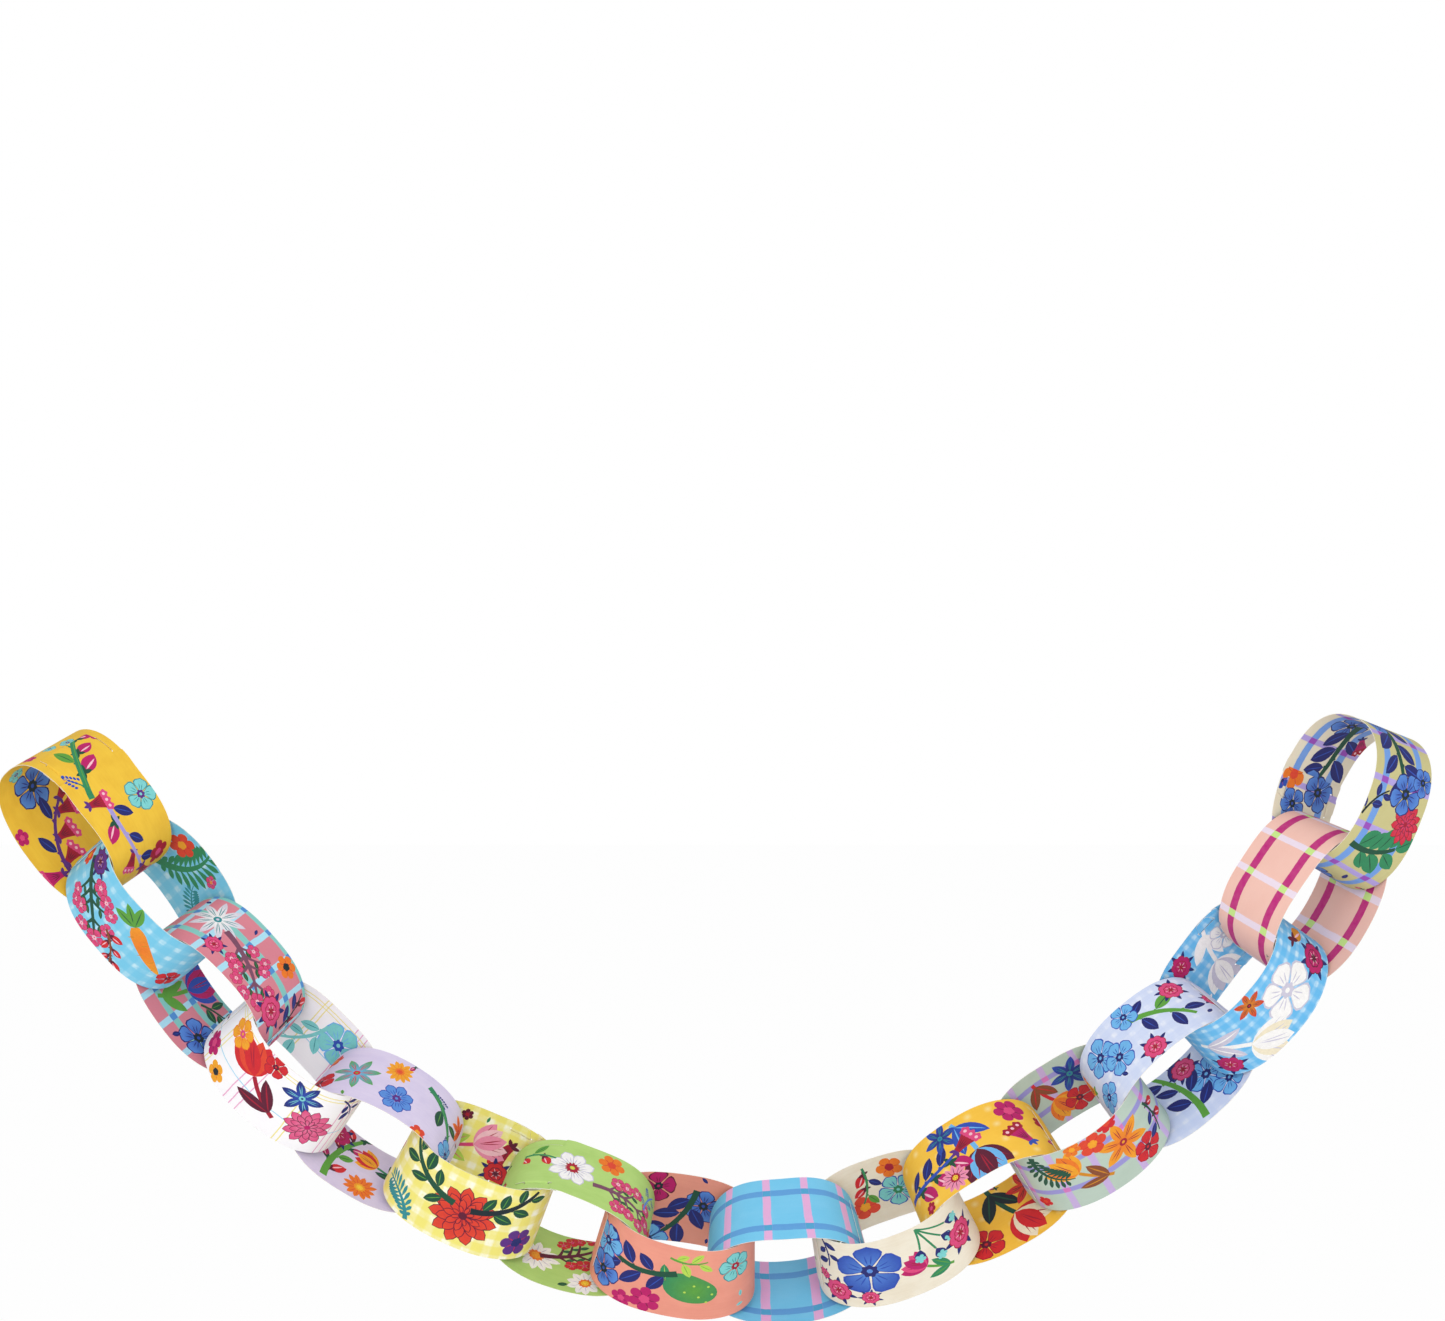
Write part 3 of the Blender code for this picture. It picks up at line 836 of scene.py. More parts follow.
NAVY_BOUGH = dyed(bough, "forest", items=(NAVY_LEAF,) * 6, reach=0.32, thick=0.09, tip=DEEP_BLOSSOM,
    tip_size=0.26)
BROAD_LEAF = dyed(leaf, "fern forest", broad=0.62)
GREEN_SPRAY = dyed(bough, "forest", items=(BROAD_LEAF,) * 7, reach=0.46, thick=0.11, tip=BROAD_LEAF,
    tip_size=0.4)

PRINTS = {
    "link_01_gold": Print(
        partial(mottled, base="F2C63C", cloud="E4B22E"),
        [(0.35, 2, 56, 12, dyed(bough, "fern", thick=0.075, reach=0.24, tip=ROSE_BUD,
             items=(BLUE_GRAPE, ROSE_BUD, GREEN_LEAF, ROSE_BUD, BLUE_GRAPE, ROSE_BUD))),
         (0.15, -3, 54, 195, dyed(bough, "lilac", thick=0.06, reach=0.24, tip=bell, tip_size=0.3,
             items=(NAVY_LEAF, ROSE_BUD, NAVY_LEAF, bell, NAVY_LEAF))),
         (0.25, -17, 14, 100, bell),
         (0.21, 16, 11, 0, dyed(blossom, "aqua teal purple")),
         (0.06, 14, 8, 0, dyed(confetti, "crimson rose"))],
        [(0.61, 1, 15, 0, DEEP_BLOSSOM),
         (0.75, 4, 50, 170, dyed(bough, "purple", thick=0.06, reach=0.28, tip=bell, tip_size=0.3,
             items=(bell, NAVY_LEAF, bell, NAVY_LEAF, bell))),
         (0.82, -14, 15, 260, dyed(bell, "magenta"))],
        [dyed(blossom, "aqua teal purple"), MAGENTA_DOT, BLUE_GRAPE], 12),
    "link_02_pale_blue": Print(
        partial(gingham, base="77CAEA", light="CDEEF9", pitch=10.0, strength=0.7),
        [(0.67, 1, 50, 25, dyed(branch, "forest rose crimson blush", head=0.11)),
         (0.83, -2, 38, 35, carrot),
         (0.61, -16, 9, 0, dyed(rosette, "purple maroon")),
         (0.77, 18, 26, 30, dyed(bough, "brown", items=(RED_BUD,) * 5, reach=0.3)),
         (0.93, 12, 8, 0, RED_BLOSSOM)],
        [(0.25, 3, 50, 200, dyed(fern, "fern", thick=0.11)),
         (0.31, -14, 9, 0, POPPY_DOT),
         (0.18, 14, 26, 20, dyed(fern, "teal"))],
        [POPPY_DOT, DARK_LEAF, PINK_BLOSSOM], 10),
    "link_03_dusty_pink": Print(
        partial(plaid, base="DA8492", along="80CBC4", across="A9E1F4", crossing="4F8FD0", cloud="D27B8B",
            widths=(4.6, 4.0), pitches=(19.0, 19.5), places=(6.0, 4.0)),
        [(0.37, 5, 17, 0, dyed(star, "white mist teal", count=9)),
         (0.24, -3, 48, 190, dyed(branch, "bark rose crimson blush", head=0.11)),
         (0.12, -10, 11, 0, rosette),
         (0.08, 9, 28, 90, dyed(bough, "ink", items=(NAVY_LEAF, RED_BUD) * 2, reach=0.36)),
         (0.18, 18, 8, 0, dyed(confetti, "orange ink"))],
        [(0.72, 4, 42, 60, dyed(tulip, "blue magenta leaf leaf")),
         (0.81, -9, 13, 0, DEEP_BLOSSOM),
         (0.8, 13, 24, 40, dyed(bough, "forest", items=(DARK_LEAF,) * 5, reach=0.4))],
        [dyed(confetti, "amber orange"), NAVY_LEAF, rosette, ROSE_BUD], 11),
    "link_04_white": Print(
        partial(lined, base="FDFBFC", sets=((False, 58.0, (3.0, 7.5, 12.0), "E79BC4"),
            (False, 58.0, (36.0, 39.0), "EFE07A"), (True, 52.0, (8.0,), "8FD0EC"),
            (True, 52.0, (31.0, 33.5), "EFE07A"))),
        [(0.71, 2, 48, 205, dyed(tulip, "red poppy crimson maroon")),
         (0.62, -13, 10, 0, dyed(blossom, "amber orange rose", count=6)),
         (0.82, -12, 13, 30, dyed(star, "blue navy aqua")),
         (0.87, 6, 14, 0, dyed(dahlia, "pink rose maroon magenta", rings=3)),
         (0.93, -14, 18, 30, dyed(bough, "navy", items=(NAVY_LEAF,) * 4, reach=0.4)),
         (0.73, -19, 8, 0, RED_BLOSSOM),
         (0.58, 14, 8, 0, MAGENTA_DOT)],
        [(0.2, -6, 16, 0, dyed(blossom, "aqua sky blue")),
         (0.29, 6, 40, 80, dyed(bough, "aqua", items=(AQUA_LEAF,) * 5, reach=0.34))],
        [NAVY_LEAF, dyed(confetti, "amber ink"), ROSE_BUD], 7),
    "link_05_lavender": Print(
        partial(mottled, base="DFD4EE", cloud="D0C5E6"),
        [(0.37, -2, 15, 40, dyed(star, "sky leaf red", count=7)),
         (0.28, 13, 10, 0, dyed(daisy, "amber orange orange poppy")),
         (0.25, -10, 12, 0, dyed(blossom, "cornflower blue purple", count=7)),
         (0.13, 1, 46, 200, dyed(bough, "fern", thick=0.09, reach=0.28, tip=BLUE_BLOSSOM, tip_size=0.24,
             items=(berries, DARK_LEAF, DARK_LEAF, berries))),
         (0.06, 14, 10, 90, dyed(star, "poppy orange crimson")),
         (0.45, -12, 11, 0, RED_BLOSSOM)],
        [(0.72, 1, 48, 100, dyed(bough, "leaf", thick=0.09, reach=0.2, tip=ROSE_BUD,
             items=(RED_BUD, ROSE_BUD, GREEN_LEAF, RED_BUD, ROSE_BUD, RED_BUD))),
         (0.78, -14, 10, 20, dyed(daisy, "orange poppy amber")),
         (0.8, 11, 28, 150, dyed(tulip, "amber red fern forest")),
         (0.68, 15, 9, 0, dyed(rosette, "magenta"))],
        [GREEN_LEAF, POPPY_DOT, ROSE_BUD, dyed(blossom, "cornflower blue")], 11),
    "link_06_pale_yellow": Print(
        partial(gingham, base="F1E678", light="FFFEEC", pitch=11.0, width=0.42, strength=0.85,
            stripe=0.16),
        [(0.76, 3, 20, 0, dahlia),
         (0.66, -14, 44, 190, dyed(bough, "forest", items=(DARK_LEAF,) * 6, reach=0.3, thick=0.1)),
         (0.84, -13, 42, -10, dyed(bough, "ink", items=(DARK_LEAF,) * 6, reach=0.28, thick=0.1)),
         (0.63, 12, 32, 250, dyed(fern, "teal", thick=0.1)),
         (0.9, 13, 10, 0, dyed(confetti, "purple navy"))],
        [(0.2, -8, 18, 60, dyed(bell, "crimson red maroon")),
         (0.29, 4, 42, 190, dyed(tulip, "pink blush rose lime")),
         (0.21, 13, 9, 0, dyed(rosette, "red maroon"))],
        [dyed(confetti, "maroon crimson"), dyed(leaf, "fern"), dyed(bud, "rose fern")], 8),
    "link_07_apple_green": Print(
        partial(mottled, base="B8DA7C", cloud="A8CE6C"),
        [(0.29, 0, 15, 0, dyed(blossom, "white mist red", count=8)),
         (0.29, 0, 5, 0, dyed(daisy, "crimson red lime yellow")),
         (0.15, -4, 42, 170, dyed(branch, "bark rose crimson blush", head=0.12)),
         (0.4, 6, 34, 160, dyed(bough, "fern", items=(GREEN_LEAF, RED_BUD) * 2, reach=0.28)),
         (0.2, 16, 9, 0, dyed(confetti, "orange poppy")),
         (0.07, 9, 22, 90, dyed(bough, "cornflower", items=(BLUE_GRAPE,) * 4, reach=0.3))],
        [(0.7, -2, 14, 0, dyed(daisy, "white mist orange amber")),
         (0.79, 7, 44, 20, dyed(branch, "maroon red crimson rose", head=0.11)),
         (0.82, -15, 11, 0, partial(daisy, count=10))],
        [dyed(confetti, "red rose"), DARK_LEAF, RED_BUD], 9),
    "link_08_salmon": Print(
        partial(mottled, base="EE9C87", cloud="E38E7B", amount=0.6),
        [(0.8, 4, 31, 195, pear),
         (0.67, -7, 46, 160, partial(NAVY_BOUGH, tip=BLUE_BLOSSOM)),
         (0.59, 11, 12, 0, DEEP_BLOSSOM),
         (0.78, -17, 22, 20, dyed(bough, "leaf", items=(LIME_LEAF,) * 4, reach=0.4)),
         (0.89, -11, 11, 30, dyed(blossom, "aqua teal crimson")),
         (0.7, 17, 9, 30, MAGENTA_DOT)],
        [(0.2, -4, 13, 0, DEEP_BLOSSOM),
         (0.27, 5, 48, 80, partial(NAVY_BOUGH, tip=BLUE_BLOSSOM)),
         (0.32, -15, 12, 0, dyed(blossom, "magenta maroon ink", count=4))],
        [NAVY_LEAF, MAGENTA_DOT, AQUA_LEAF], 8),
    "link_09_sky_blue": Print(
        partial(plaid, base="72C8EE", along="5E9FDB", across="E9AEDB", crossing="4FA6D3", cloud="84CFF2",
            widths=(4.8, 5.0), pitches=(29.0, 26.0))),
    "link_10_cream": Print(
        partial(mottled, base="F3EBD8", cloud="E6D9C0"),
        [(0.68, -3, 19, 20, dyed(blossom, "cornflower blue navy blue")),
         (0.8, 10, 30, 200, dyed(tulip, "magenta rose leaf fern")),
         (0.83, -11, 28, 60, cones),
         (0.6, 14, 9, 0, rosette),
         (0.9, 2, 11, 0, rosette),
         (0.58, -14, 22, 60, dyed(bough, "navy", items=(NAVY_LEAF,) * 4, reach=0.36))],
        [(0.29, 9, 10, 0, POPPY_DOT),
         (0.2, 4, 13, 0, dyed(blossom, "aqua blue fern")),
         (0.28, -7, 28, 100, dyed(bough, "fern", items=(RED_BUD, NAVY_LEAF, RED_BUD, GREEN_LEAF),
             reach=0.36)),
         (0.2, -15, 9, 0, dyed(confetti, "orange crimson"))],
        [confetti, rosette, GREEN_LEAF, dyed(confetti, "cornflower navy")], 10),
    "link_11_golden_yellow": Print(
        partial(spotted, base="F9C643", pale="FDE8A6", pitch=13.5, cloud="F2B934"),
        [(0.22, -1, 50, 245, dyed(tulip, "maroon sky sky blue")),
         (0.37, 1, 48, 200, dyed(bough, "blue", items=(NAVY_LEAF, ROSE_BUD) * 3, reach=0.3, tip=bell,
             tip_size=0.34)),
         (0.3, 17, 12, 0, dyed(star, "navy blue teal")),
         (0.31, -15, 10, 40, dyed(daisy, "pink maroon crimson")),
         (0.11, -12, 16, 60, dyed(bell, "magenta crimson blue")),
         (0.12, 15, 10, 60, MAGENTA_DOT)],
        [(0.75, 1, 50, 280, dyed(tulip, "red cream forest ink")),
         (0.68, -13, 12, 0, RED_BLOSSOM),
         (0.82, 13, 13, 30, dyed(star, "poppy red ink"))],
        [dyed(confetti, "crimson rose"), NAVY_LEAF, ROSE_BUD], 9),
    "link_12_sage": Print(
        partial(plaid, base="BDCFC1", along="9A93D6", across="C9AFE0", crossing="D67ABF", cloud="B0C4B4",
            widths=(4.0, 4.0), pitches=(22.0, 22.0), places=(8.0, 6.0)),
        [(0.69, 2, 40, 210, dyed(tulip, "amber orange ochre brown")),
         (0.81, -4, 17, 100, dyed(star, "orange amber crimson", count=6)),
         (0.6, -10, 34, 100, dyed(fern, "forest", thick=0.1)),
         (0.75, -18, 9, 0, POPPY_DOT),
         (0.85, 14, 10, 0, RED_BLOSSOM),
         (0.9, 2, 26, 70, dyed(bough, "forest", items=(RED_BUD, NAVY_LEAF) * 2, reach=0.34))],
        [(0.28, 3, 38, 100, dyed(tulip, "orange amber red brown")),
         (0.21, 13, 10, 0, RED_BLOSSOM),
         (0.2, -8, 14, 30, dyed(star, "navy blue teal"))],
        [dyed(confetti, "red poppy"), NAVY_LEAF, dyed(confetti, "orange")], 8),
    "link_13_ice_blue": Print(
        partial(gingham, base="D4DEF7", light="F1F4FD", pitch=9.0, strength=0.55, stripe=0.1,
            cloud="C8D5F3"),
        [(0.2, 0, 50, 190, dyed(bough, "leaf", thick=0.09, reach=0.3,
             items=(NAVY_LEAF, NAVY_LEAF, GREEN_LEAF, NAVY_LEAF, NAVY_LEAF))),
         (0.37, 9, 13, 0, BLUE_BLOSSOM),
         (0.33, -3, 12, 40, BLUE_BLOSSOM),
         (0.42, -12, 10, 20, BLUE_BLOSSOM),
         (0.25, -17, 9, 0, rosette),
         (0.26, 17, 10, 0, BLUE_BLOSSOM),
         (0.12, 14, 9, 0, rosette),
         (0.46, 6, 16, 60, dyed(bell, "amber orange leaf"))],
        [(0.8, 2, 13, 0, BLUE_BLOSSOM),
         (0.83, -13, 11, 0, BLUE_BLOSSOM),
         (0.72, 2, 50, 80, dyed(bough, "leaf", thick=0.09, items=(NAVY_LEAF,) * 6, reach=0.3)),
         (0.77, 17, 9, 0, rosette)],
        [NAVY_LEAF, rosette, GREEN_LEAF], 7),
    "link_14_cornflower": Print(
        partial(gingham, base="66BBEE", light="D2EDFB", pitch=7.8, width=0.38, strength=0.75, stripe=0.14),
        [(0.8, -1, 19, 0, WHITE_BLOSSOM),
         (0.66, 2, 52, 20, dyed(tulip, "white cream white mist mist")),
         (0.72, -17, 10, 20, dyed(star, "ochre red maroon")),
         (0.9, 11, 11, 0, dyed(rosette, "magenta maroon")),
         (0.59, 15, 9, 0, dyed(rosette, "magenta")),
         (0.91, -10, 14, 40, dyed(bud, "ochre maroon"))],
        [(0.25, 1, 46, 60, dyed(tulip, "white mist white white mist")),
         (0.31, -15, 9, 0, dyed(rosette, "magenta")),
         (0.18, -4, 11, 0, WHITE_BLOSSOM)],
        [dyed(confetti, "magenta navy"), dyed(leaf, "white mist"), RED_BUD], 5),
    "link_15_peach": Print(
        partial(plaid, base="F5C6B8", along="C0167A", across="EFE0F0", crossing="C9EB8C", cloud="F1BDAE",
            widths=(5.6, 4.2), places=(14.3, 20.0))),
    "link_16_khaki_cream": Print(
        partial(plaid, base="EDE6CE", along="6C9EE6", across="B3A2E4", crossing="9A4DBB", cloud="E4DCBC",
            widths=(5.6, 3.8)),
        [(0.67, -2, 36, 100, GREEN_SPRAY),
         (0.74, 14, 12, 0, dyed(dahlia, "rose red maroon crimson", rings=3)),
         (0.9, 0, 52, 190, NAVY_BOUGH),
         (0.84, 18, 9, 0, DEEP_BLOSSOM),
         (0.97, -12, 10, 0, DEEP_BLOSSOM),
         (0.76, -17, 24, 20, dyed(bough, "ink", items=(NAVY_LEAF,) * 4, reach=0.36))],
        [(0.07, -2, 13, 0, DEEP_BLOSSOM),
         (0.16, 2, 52, 20, NAVY_BOUGH),
         (0.26, 8, 13, 0, DEEP_BLOSSOM),
         (0.1, 17, 12, 40, dyed(bell, "magenta crimson navy")),
         (0.24, -16, 10, 0, dyed(confetti, "orange poppy")),
         (0.31, -10, 11, 0, DEEP_BLOSSOM)],
        [NAVY_LEAF, dyed(confetti, "blue navy"), ROSE_BUD], 6,
        # Painted shade: the outside's ground is darkened to khaki, as if turned from the light; the inside
        # keeps its cream.
        face_shades=("DEDCB0", "FFFFFF")),
}


def strip_place(face, turn, lap_turn):
    """Distance along the strip of a place round the loop. Outside, the lap shows its tongue."""
    along = ((turn - lap_turn) * GIRTH + LAP / 2) % GIRTH
    return along + GIRTH if face == OUT and along < LAP else along


def repeats(large):
    """The large motifs again, turned over, on the half of the loop that the photo doesn't show."""
    return [(face, (turn + 0.5) % 1, -across, size, angle + 180, motif)
            for face, turn, across, size, angle, motif in large]


def printed_shapes(number, name, lap_turn):
    """The shapes of ink on the outside and on the inside of a strip, in drawing order."""
    rng = random.Random(number * 101 + 7)
    design = PRINTS[name]
    faces = ([], [])
    taken = ([], [])
    for face, turn, across, size, angle, motif in design.large + repeats(design.large):
        along = strip_place(face, turn, lap_turn)
        shapes = motif(rng, size)
        faces[face].extend(moved(shapes, along=along, across=across, angle=math.radians(angle)))
        taken[face].append((along, across, min(size, CROWDED_SIZE) * CROWDED_SHARE))
    for face in (OUT, IN):
        placed = 0
        for _ in range(TRIES):
            if placed == design.count:
                break
            size = rng.uniform(*SMALL_MOTIFS)
            along, across = rng.uniform(0, STRIP_LENGTH), rng.uniform(-HALF_WIDTH, HALF_WIDTH)
            near = any(math.hypot(along - a, across - b) < reach + size + 1 for a, b, reach in taken[face])
            if near:
                continue
            shapes = rng.choice(design.small)(rng, size)
            turn = rng.uniform(0, 2 * math.pi)
            faces[face].extend(moved(shapes, along=along, across=across, angle=turn))
            taken[face].append((along, across, size))
            placed += 1
    return faces


# The flat sheet


def rounded(corners, radii):
    """An outline whose corners are rounded off."""
    points = []
    for place, (corner, radius) in enumerate(zip(corners, radii)):
        corner = np.array(corner, dtype=float)
        if radius == 0:
            points.append(corner)
            continue
        before = np.array(corners[place - 1]) - corner
        after = np.array(corners[(place + 1) % len(corners)]) - corner
        start = corner + before / np.linalg.norm(before) * radius
        end = corner + after / np.linalg.norm(after) * radius
        for share in (0, 0.25, 0.5, 0.75, 1):
            points.append(start * (1 - share) ** 2 + 2 * corner * share * (1 - share) + end * share ** 2)
    return points


def sheet_outline():
    """The cut strip: square inner end, necked tongue with two ears, rounded tip."""
    root = SLIT_CENTRE - EAR_FOLD / 2
    neck = EAR_NEAR - NOTCH
    side = [
        ((0, HALF_WIDTH), 0.8), ((neck, HALF_WIDTH), 1.0), ((neck, root), 0.4),
        ((EAR_NEAR, root), 0), ((EAR_NEAR + EAR_SLANT, HALF_WIDTH), EAR_ROUND),
        ((EAR_FAR - EAR_SLANT, HALF_WIDTH), EAR_ROUND), ((EAR_FAR, root), 0),
        ((STRIP_LENGTH, root), TIP_ROUND),
    ]
    mirrored = [((along, -across), radius) for (along, across), radius in side[::-1]]
    corners, radii = zip(*(side + mirrored))
    return rounded(corners, radii)[::-1]


def slit_outlines():
    near = EAR_NEAR - GIRTH - SLIT_END_ROOM
    far = EAR_FAR - GIRTH + SLIT_END_ROOM
    slits = []
    for side in (-1, 1):
        low, high = side * SLIT_CENTRE - SLIT_HALF_WIDTH, side * SLIT_CENTRE + SLIT_HALF_WIDTH
        corners = ((near, low), (far, low), (far, high), (near, high))
        slits.append(rounded(corners, (0.5,) * 4))
    return slits


def anticlockwise(points):
    """The outline in the direction that the cutting takes for its inside."""
    points = np.array(points, dtype=float)
    ahead = np.roll(points, -1, axis=0)
    area = (points[:, 0] * ahead[:, 1] - points[:, 1] * ahead[:, 0]).sum()
    return points if area > 0 else points[::-1]


def slim(points):
    """The outline without points that hardly bend it."""
    for _ in range(3):
        before, chord = np.roll(points, 1, axis=0), np.roll(points, -1, axis=0) - np.roll(points, 1, axis=0)
        off = chord[:, 0] * (points - before)[:, 1] - chord[:, 1] * (points - before)[:, 0]
        keep = np.abs(off) > PLAIN_BEND * np.maximum(np.linalg.norm(chord, axis=1), 1e-9)
        keep[::2] = True
        points = points[keep]
    return points


def dense(points):
    """The outline with its long edges divided."""
    points = np.array(points, dtype=float)
    result = []
    for a, b in zip(points, np.roll(points, -1, axis=0)):
        count = max(1, math.ceil(np.linalg.norm(b - a) / LONGEST_EDGE))
        result.extend(a + (b - a) * step / count for step in range(count))
    return result


def grid_points():
    """A lattice over the strip, with closer rows where the ears fold."""
    along = np.arange(0, STRIP_LENGTH + GRID_ALONG / 2, GRID_ALONG)
    across = np.arange(-HALF_WIDTH, HALF_WIDTH + GRID_ACROSS / 2, GRID_ACROSS)
    points = [(a, b) for a in along for b in across]
    for a in np.arange(EAR_NEAR, EAR_FAR + 0.1, 1.0):
        for share in (-0.5, -0.3, -0.1, 0.1, 0.3, 0.5):
            for side in (-1, 1):
                points.append((a, side * (SLIT_CENTRE + share * EAR_FOLD)))
    return points


class FlatSheet:
    """The strip cut into triangles, each with the number of the ink shape on either face."""

    def __init__(self, outside, inside):
        points, polygons = [], []
        self.shapes = outside + inside
        slits = slit_outlines()
        outlines = [sheet_outline()] + slits + [slim(shape.points) for shape in self.shapes]
        for outline in outlines:
            outline = dense(anticlockwise(outline))
            polygons.append(list(range(len(points), len(points) + len(outline))))
            points.extend(outline)
        points.extend(grid_points())
        result = delaunay_2d_cdt([Vector(p) for p in points], [], polygons, 0, MERGE, True)
        triangles, owners = result[2], result[5]
        first_shape = 1 + len(slits)
        self.triangles, self.ink = [], ([], [])
        for triangle, owner in zip(triangles, owners):
            if 0 not in owner or any(number in owner for number in range(1, first_shape)):
                continue
            shapes = [number - first_shape for number in owner if number >= first_shape]
            self.triangles.append(triangle)
            self.ink[OUT].append(max((n for n in shapes if n < len(outside)), default=-1))
            self.ink[IN].append(max((n for n in shapes if n >= len(outside)), default=-1))
        used = sorted({corner for triangle in self.triangles for corner in triangle})
        places = {corner: place for place, corner in enumerate(used)}
        self.points = np.array([tuple(result[0][corner]) for corner in used])
        self.triangles = np.array([[places[corner] for corner in t] for t in self.triangles])
        self.turn_over()

    def turn_over(self):
        """Every triangle counter-clockwise."""
        a, b, c = (self.points[self.triangles[:, corner]] for corner in range(3))
        area = (b - a)[:, 0] * (c - a)[:, 1] - (b - a)[:, 1] * (c - a)[:, 0]
        self.triangles[area < 0] = self.triangles[area < 0][:, ::-1]

    def rim(self):
        """Edges that only one triangle has, in that triangle's direction."""
        owned = {}
        for a, b, c in self.triangles.tolist():
            for edge in ((a, b), (b, c), (c, a)):
                owned[edge] = True
        return [edge for edge in owned if (edge[1], edge[0]) not in owned]

    def colours(self, face, face_shade):
        """Colour and cover of the ink at each corner of each triangle; where there is none, the face's
        painted shade.
        """
        result = np.zeros((len(self.triangles), 3, 4))
        result[:, :, :3] = face_shade
        numbers = np.array(self.ink[face])
        for number in set(numbers[numbers >= 0].tolist()):
            rows = np.nonzero(numbers == number)[0]
            spots = self.points[self.triangles[rows]].reshape(-1, 2)
            result[rows, :, :3] = self.shapes[number].shade(spots).reshape(-1, 3, 3)
            result[rows, :, 3] = 1
        return result


# The bent strip


def baking_map(flat, face, corners):
    """Both faces cut in three along the strip, side by side in one square."""
    third = STRIP_LENGTH / 3
    part = np.clip(np.floor(flat[:, :, 0].mean(axis=1) / third), 0, 2)[:, None]
    row = part if corners == 3 else part * 0
    u = (flat[:, :, 0] - part * third) / third * MAP_LENGTH + MAP_START + 0.5 * face
    v = (flat[:, :, 1] / STRIP_WIDTH + 0.5) * MAP_WIDTH + MAP_EDGE + row / 3
    return np.stack((u, v), axis=2)


def build_strip(number, name, garland):
    lap_turn = HANG[number][3]
    sheet = FlatSheet(*printed_shapes(number, name, lap_turn))
    along, across = sheet.points[:, 0], sheet.points[:, 1]
    outer = garland.at(number, along, across, CARD / 2)
    inner = garland.at(number, along, across, -CARD / 2)
    normals = garland.normals(number, along, across)
    count = len(sheet.points)
    outward = sheet.triangles[:, ::-1]
    inward = sheet.triangles + count
    walls = [(b, a, a + count, b + count) for a, b in sheet.rim()]
    walls = np.array([wall[::-1] for wall in walls])
    points = np.concatenate((outer, inner)) * METRES
    mesh = bpy.data.meshes.new(name + "_strip")
    faces = outward.tolist() + inward.tolist() + walls.tolist()
    mesh.from_pydata(points.tolist(), [], faces)
    strip = bpy.data.objects.new(name + "_strip", mesh)
    bpy.context.scene.collection.objects.link(strip)

    flat = np.concatenate((sheet.points, sheet.points))
    corners = np.concatenate((outward.ravel(), inward.ravel(), walls.ravel()))
    mesh.uv_layers.new(name="Strip").data.foreach_set("uv", flat[corners].ravel())
    areas = ((outward, OUT, 3), (inward, IN, 3), (walls, IN, 4))
    bake = np.concatenate([baking_map(flat[area], *rest).reshape(-1, 2) for area, *rest in areas])
    mesh.uv_layers.new(name="OFBake").data.foreach_set("uv", bake.ravel())
    ink = mesh.color_attributes.new("Ink", "FLOAT_COLOR", "CORNER")
    core = np.tile((*linear("core"), 1.0), (walls.size, 1))
    # Each face's painted shade fills the ink's colour where there is no ink, and the ground is multiplied by
    # it.
    face_shades = PRINTS[name].face_shades
    outside = sheet.colours(OUT, face_shades[OUT])[:, ::-1].reshape(-1, 4)
    colours = np.concatenate((outside, sheet.colours(IN, face_shades[IN]).reshape(-1, 4), core))
    ink.data.foreach_set("color", colours.ravel())

    wall_points = points[walls]
    across_wall = np.cross(wall_points[:, 1] - wall_points[:, 0], wall_points[:, 3] - wall_points[:, 0])
    across_wall /= np.maximum(np.linalg.norm(across_wall, axis=1, keepdims=True), 1e-12)
    corner_normals = np.concatenate((
        normals[outward.ravel()], -normals[sheet.triangles.ravel()], np.repeat(across_wall, 4, axis=0)))
    mesh.normals_split_custom_set(corner_normals.tolist())
    return strip


def dress(number, name, garland):
    strip = build_strip(number, name, garland)
    paper = Paper(name, number)
    strip.data.materials.append(finish_paper(paper, PRINTS[name].ground(paper)))
    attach(strip, "root")
    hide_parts(name)


# The stage


def white_material():
    """A white floor that shows as white and still takes a little of the object's shadow."""
    material = bpy.data.materials.new("stage_white")
    material.use_nodes = True
    tree = material.node_tree
    surface = tree.nodes["Principled BSDF"]
    for name, value in (("Base Color", FLOOR_WHITE), ("Roughness", 1.0), ("Specular IOR Level", 0.0)):
        surface.inputs[name].default_value = value
    glow = add_node(tree, "ShaderNodeEmission", {"Color": WHITE, "Strength": 1.0})
    rays = add_node(tree, "ShaderNodeLightPath").outputs
    seen = {0: rays["Is Camera Ray"], 1: rays["Is Glossy Ray"]}
    seen = add_node(tree, "ShaderNodeMath", seen, operation="MAXIMUM").outputs[0]
    share = add_node(tree, "ShaderNodeMath", {0: seen, 1: GLOW_SHARE}, operation="MULTIPLY").outputs[0]
    shaders = {0: share, 1: surface.outputs[0], 2: glow.outputs[0]}
    blend = add_node(tree, "ShaderNodeMixShader", shaders)
    tree.links.new(blend.outputs[0], tree.nodes["Material Output"].inputs["Surface"])
    return material


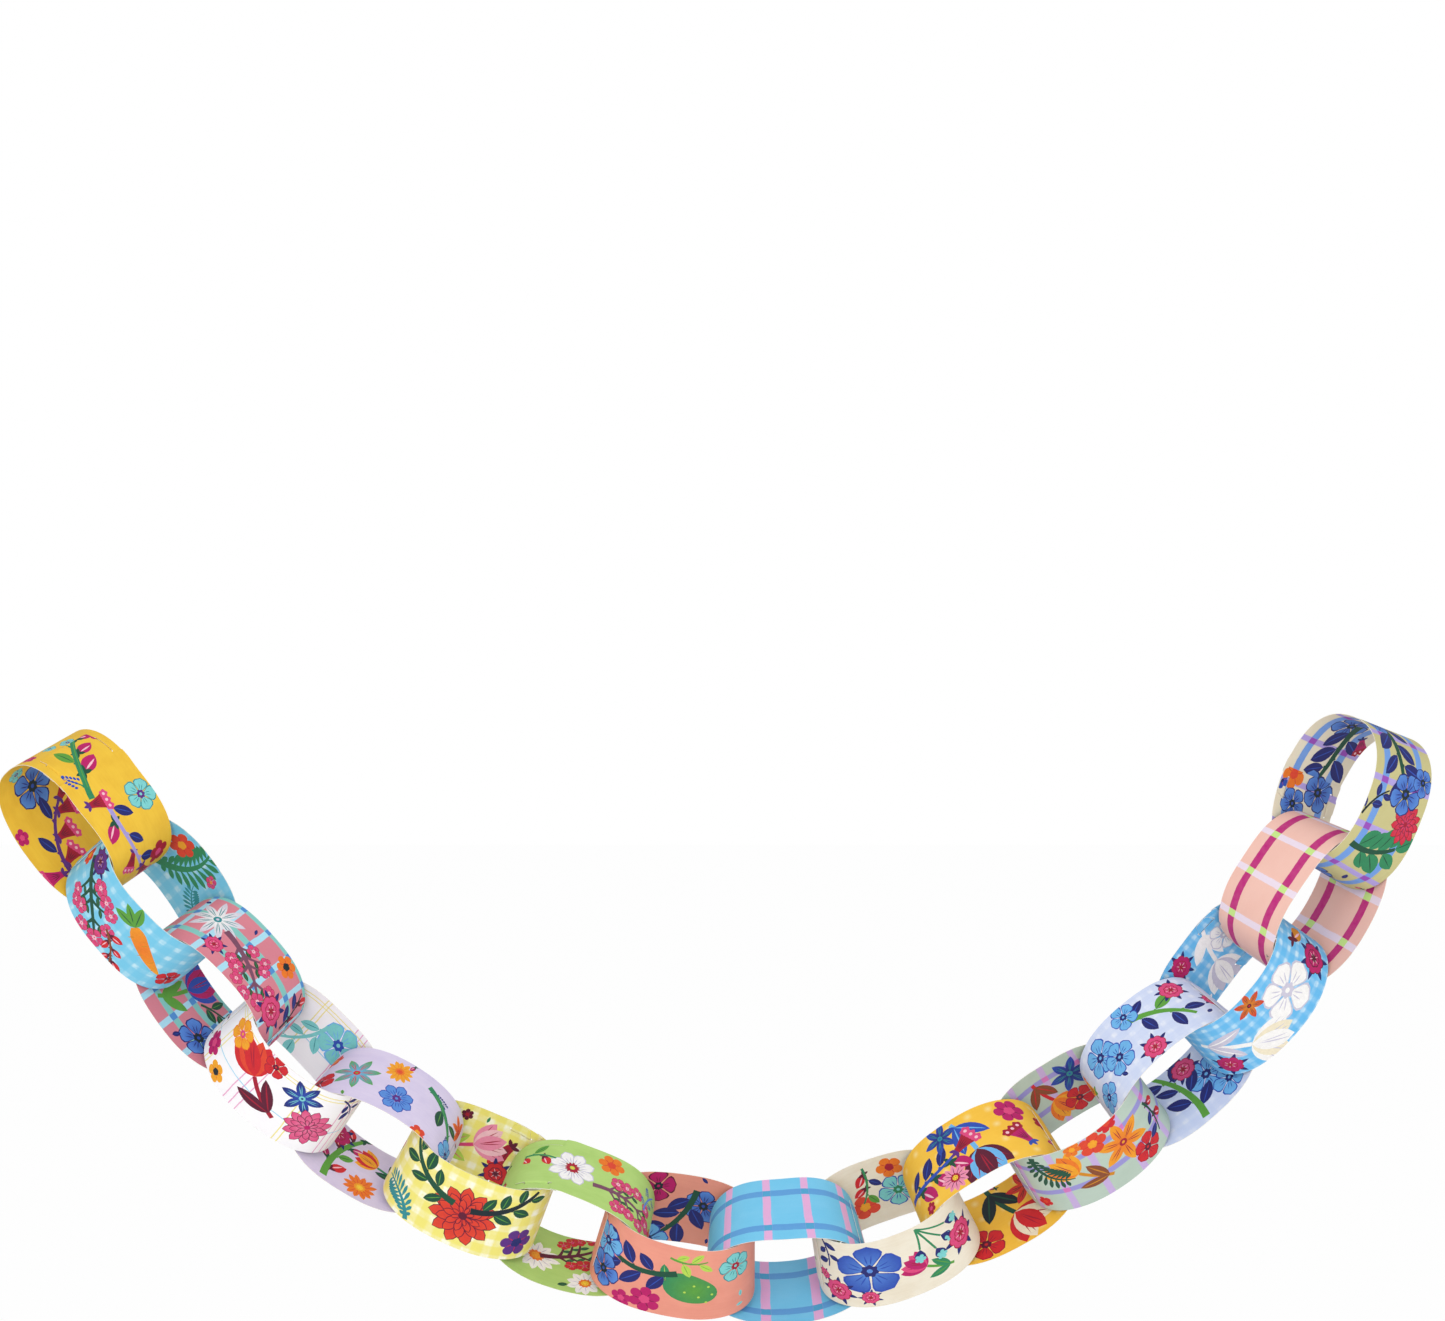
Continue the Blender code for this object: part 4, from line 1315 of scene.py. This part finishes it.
def make_stage():
    bpy.ops.mesh.primitive_plane_add(size=FLOOR_SIZE, location=(CAMERA_X, 0, cad_low.z - FLOOR_DROP))
    floor = bpy.context.object
    floor.name = "floor"
    floor.data.materials.append(white_material())


def make_world():
    """Even light from all round, and plain white where the camera sees past the floor."""
    world = bpy.data.worlds.new("studio")
    bpy.context.scene.world = world
    world.use_nodes = True
    tree = world.node_tree
    light = tree.nodes["Background"]
    light.inputs["Color"].default_value = WHITE
    light.inputs["Strength"].default_value = ROOM_LIGHT
    white = add_node(tree, "ShaderNodeBackground", {"Color": WHITE, "Strength": 1.0})
    seen = add_node(tree, "ShaderNodeLightPath").outputs["Is Camera Ray"]
    blend = add_node(tree, "ShaderNodeMixShader", {0: seen, 1: light.outputs[0], 2: white.outputs[0]})
    tree.links.new(blend.outputs[0], tree.nodes["World Output"].inputs["Surface"])


def add_lamp(name, place, aim, power):
    lamp = bpy.data.lights.new(name, "AREA")
    lamp.shape = "DISK"
    lamp.size = LAMP_SIZE
    lamp.energy = power
    holder = bpy.data.objects.new(name, lamp)
    bpy.context.scene.collection.objects.link(holder)
    holder.location = place
    holder.rotation_euler = (Vector(aim) - Vector(place)).to_track_quat("-Z", "Y").to_euler()


def make_camera():
    data = bpy.data.cameras.new("camera")
    data.sensor_fit = "HORIZONTAL"
    data.sensor_width = SENSOR
    data.lens = CAMERA_DISTANCE * PIXELS_PER_METRE / PHOTO_WIDTH * SENSOR
    camera = bpy.data.objects.new("camera", data)
    bpy.context.scene.collection.objects.link(camera)
    camera.location = (CAMERA_X, -CAMERA_DISTANCE, CAMERA_Z)
    camera.rotation_euler = (math.pi / 2, 0, 0)
    bpy.context.scene.camera = camera


def main():
    names = [row[0] for row in HANG]
    garland = Garland(names)
    for number, name in enumerate(names):
        dress(number, name, garland)
    make_stage()
    make_world()
    middle = (cad_low + cad_high) / 2
    for name, offset, power in LAMPS:
        add_lamp(name, middle + Vector(offset), middle, power)
    make_camera()
    bpy.context.scene.view_settings.view_transform = "Standard"


main()
